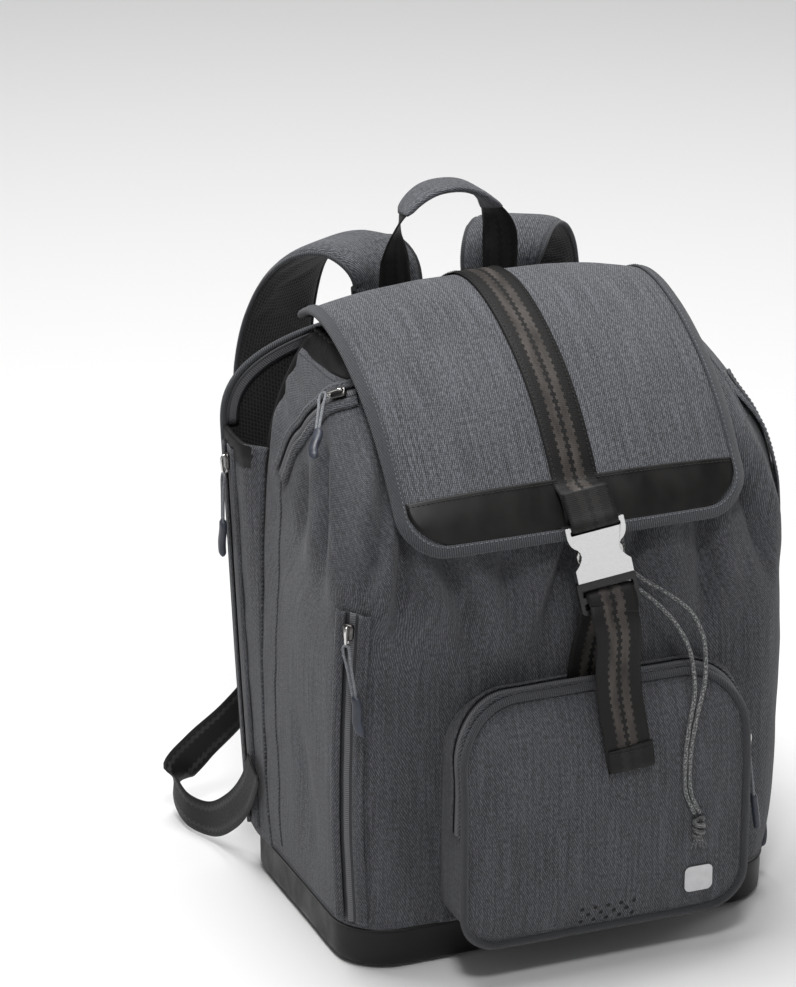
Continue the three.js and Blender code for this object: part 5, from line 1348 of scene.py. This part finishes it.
# ---- Carry handle -------------------------------------------------------------------------------------
HANDLE = [
    (-38, 122.4, 388), (-38.5, 122.6, 412), (-37, 123, 430), (-29, 125, 447), (-15, 126.5, 457),
    (0, 127, 459.5), (15, 126.5, 457),
    (29, 125, 447), (37, 123, 430), (38.5, 122.6, 412), (38, 122.4, 388),
]
handle_sides = []
for i in range(11):
    turn = smoothstep(1 - abs(i - 5) / 5, 0, 0.75) * math.pi / 2
    handle_sides.append((math.cos(turn) * (-1 if i > 5 else 1), math.sin(turn), 0))
legs = ribbon("handle_webbing_legs", HANDLE, handle_sides, 24, 1.6, PLAIN_WEBBING, "carry_handle",
    ["handle_webbing"], -0.8, 110, 11)
handle_path, handle_side_path = line(HANDLE, 111), sides_along(HANDLE, handle_sides, 111)
rows = []
GRIP_FROM, GRIP_TO = 33, 79
for i, (_, side, up) in list(enumerate(frames(handle_path, handle_side_path)))[GRIP_FROM:GRIP_TO]:
    t = (i - GRIP_FROM) / (GRIP_TO - GRIP_FROM - 1)
    end = min(1, (min(t, 1 - t) * 14 + 0.35)) ** 0.5
    turns = [2 * math.pi * k / 36 for k in range(36)]
    wide, thick = 12.9, 3.0 * end
    rows.append([handle_path[i] + side * wide * abs(math.cos(a)) ** 0.6 * math.copysign(1, math.cos(a))
                 + up * thick * abs(math.sin(a)) ** 0.75 * math.copysign(1, math.sin(a)) for a in turns])
wrap = grid("handle_grip_wrap", rows, TOP_LIT_TWILL, None, (), around=True, capped=True)
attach(wrap, "carry_handle")

# ---- Shoulder straps and their lower webbing ------------------------------------------------------------
PAD_PATH = [
    (40, 130.5, 386), (42, 133, 402), (50, 139, 413), (62, 153, 418), (75, 169, 412), (87, 183, 393),
    (95, 192, 362), (100, 193, 325),
    (102, 187, 285), (103, 177, 245), (103, 167, 207),
]
PAD_SIDES = [
    (1, 0, 0), (1, -0.12, 0), (1, -0.35, 0), (1, -0.55, 0), (1, -0.6, 0), (1, -0.5, 0), (1, -0.35, 0),
    (1, -0.2, 0), (1, -0.1, 0),
    (1, 0, 0), (1, 0, 0),
]
LOWER_PATH = [
    (103, 156.5, 168), (104, 158, 148), (111, 162, 122), (124, 168, 98), (143, 173, 74), (165, 181, 50),
    (180, 185, 29),
    (181, 163, 17), (172, 136, 17), (166.5, 105, 36), (163.8, 80, 62), (163.4, 68, 84),
]
LOWER_SIDES = [
    (1, 0, 0), (1, 0, 0.1), (0.9, -0.2, 0.4), (0.7, -0.2, 0.7), (0.4, -0.1, 0.9), (0.1, 0, 1), (0, 0, 1),
    (0, 0, 1), (0, 0.1, 1),
    (0, 0.4, 1), (0, 0.8, 1), (0, 1, 0.6),
]
pad_width = profile([(0, 50), (0.15, 56), (0.4, 62), (0.75, 58), (1, 40)])
for label, sign in (("left", -1), ("right", 1)):
    body = f"shoulder_strap_{label}"
    mirror = np.array((sign, 1, 1))
    path = line(np.array(PAD_PATH) * mirror, 130)
    sides = sides_along(PAD_PATH, [(x, sign * y, sign * z) for x, y, z in PAD_SIDES], 130)
    top_rows, under_rows, rims = [], [], {-1: [], 1: []}
    for i, (_, side, up) in enumerate(frames(path, sides)):
        t = i / 129
        half = pad_width(t) / 2 - 0.6
        pull = 1 - 0.5 * smoothstep(t, 0.93, 1.0)
        quilt = 0.5 * wobble(path[i][0], path[i][1], path[i][2], 30, 7)
        ks = np.linspace(-1, 1, 25)
        full = [(1 - abs(k) ** 4.5) ** 0.6 for k in ks]
        top_rows.append([path[i] + side * k * half + up * (0.5 + (4.3 + quilt) * f * pull) for k,
            f in zip(ks, full)])
        under_rows.append([path[i] + side * k * half + up * (-0.5 - (4.0 + quilt) * f * pull) for k,
            f in zip(ks, full)])
        for rim_side in (-1, 1):
            rims[rim_side].append(path[i] + side * rim_side * (half + 0.2))
    rows = [list(a) + list(b)[::-1] for a, b in zip(top_rows, under_rows)]
    strap = grid(f"shoulder_pad_{label}", rows, [TOP_LIT_TWILL, MESH_CLOTH], None, (), around=True, capped=True)
    columns = len(rows[0])
    for index, polygon in enumerate(strap.data.polygons):
        polygon.material_index = 1 if index % columns >= columns // 2 else 0
    swell(strap, 0.6, 1.2)
    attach(strap, body)
    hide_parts(body)
    for rim_side, points in rims.items():
        edge_tube = tube(f"shoulder_pad_edge_{label}_{'a' if rim_side < 0 else 'b'}", points, 1.5, BINDING,
            body, (), 8)
    # A short web from the pad's end through the ladder lock.
    web = np.array([(103, 168, 214), (103, 163.5, 202), (103, 158.8, 196), (103, 157.6, 190),
        (103, 154, 185), (103, 151, 183),
                    (103, 150.6, 178)]) * mirror
    lead = ribbon(f"strap_end_web_{label}", web, [(1, 0, 0)] * 7, 25.5, 1.3, PLAIN_WEBBING, body, (), -0.65,
        40, 11)
    low = ribbon(f"lower_web_{label}", np.array(LOWER_PATH) * mirror,
        [(x, sign * y, sign * z) for x, y, z in LOWER_SIDES], 25, 1.6,
                 LOOP_WEBBING, "bag", [f"lower_webbing_{label}"], -0.8, 130, 11)

# ---- Seams and stitches on the shell ----------------------------------------------------------------------
seam("corner_seam_left", [(0.24, 306), (0.22, 240), (0.2, 160), (0.2, 40)], width=0.9)
seam("corner_seam_right", [(3.55, 378), (3.5, 340)], width=0.8)
stitch_runs = [shell_stitches([(s, BOOT_HEIGHT + 3.4) for s in np.linspace(0.02, 4.98, 40)], 300)]
beads("foot_stitches", stitch_runs, THREAD)
beads("collar_stitches", [shell_stitches([(s, COLLAR_FOOT - 3.0) for s in np.linspace(0.02, 4.98, 40)],
    300)], THREAD)

# ---- Hard parts keep their CAD shape --------------------------------------------------------------
HARD = {
    "buckle_housing": (SATIN_METAL, 0.5), "buckle_plug": (BLACK_PLASTIC, 0.5),
    "buckle_arm_left": (STEEL, 0.4),
    "buckle_arm_right": (STEEL, 0.4), "badge": (BADGE_METAL, 0.5), "drawcord_eyelet": (DARK_METAL, 0.2),
    "ladder_lock_left": (BLACK_PLASTIC, 0.6), "ladder_lock_right": (BLACK_PLASTIC, 0.6),
    "base_board": (BOARD_PLASTIC, 0.3),
    "frame_sheet": (BOARD_PLASTIC, 0.3),
}
for name, (paint, width) in HARD.items():
    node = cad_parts[name]
    node.data.materials.clear()
    node.data.materials.append(paint)
    weld = node.modifiers.new("weld", "WELD")
    weld.merge_threshold = 0.00002
    bevel = node.modifiers.new("bevel", "BEVEL")
    bevel.width = width * MM
    bevel.segments = 2
    bevel.limit_method = "ANGLE"
    bevel.angle_limit = math.radians(28)

# ---- Studio -----------------------------------------------------------------------------------------------
bpy.ops.mesh.primitive_circle_add(vertices=96, radius=7, fill_type="NGON", location=(0, 0, -0.0006))
ground = bpy.context.object
ground.name = "studio_floor"
pale = bpy.data.materials.new("studio_pale")
pale.use_nodes = True
pale.node_tree.nodes["Principled BSDF"].inputs["Base Color"].default_value = (0.74, 0.74, 0.74, 1)
pale.node_tree.nodes["Principled BSDF"].inputs["Roughness"].default_value = 0.9
ground.data.materials.append(pale)
ground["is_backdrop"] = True
world = bpy.data.worlds.new("studio")
bpy.context.scene.world = world
world.use_nodes = True
world.node_tree.nodes["Background"].inputs["Color"].default_value = (1, 1, 1, 1)
world.node_tree.nodes["Background"].inputs["Strength"].default_value = 0.2


def softbox(name, place, size, power, aim=(0, 0, 0.22)):
    lamp = bpy.data.lights.new(name, "AREA")
    lamp.shape = "RECTANGLE"
    lamp.size, lamp.size_y = size
    lamp.energy = power
    made = bpy.data.objects.new(name, lamp)
    made.location = place
    made.rotation_mode = "QUATERNION"
    made.rotation_quaternion = (Vector(aim) - Vector(place)).to_track_quat("-Z", "Y")
    made.visible_camera = False
    bpy.context.scene.collection.objects.link(made)


softbox("overhead", (-0.35, 0.6, 3.2), (2.0, 2.0), 122)
softbox("key", (-0.7, -1.7, 2.7), (0.45, 0.45), 30)
softbox("front", (0.1, -2.6, 0.6), (1.7, 0.9), 3.9)
softbox("rim_right", (2.0, 0.6, 1.5), (0.6, 1.6), 7)

low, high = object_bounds()
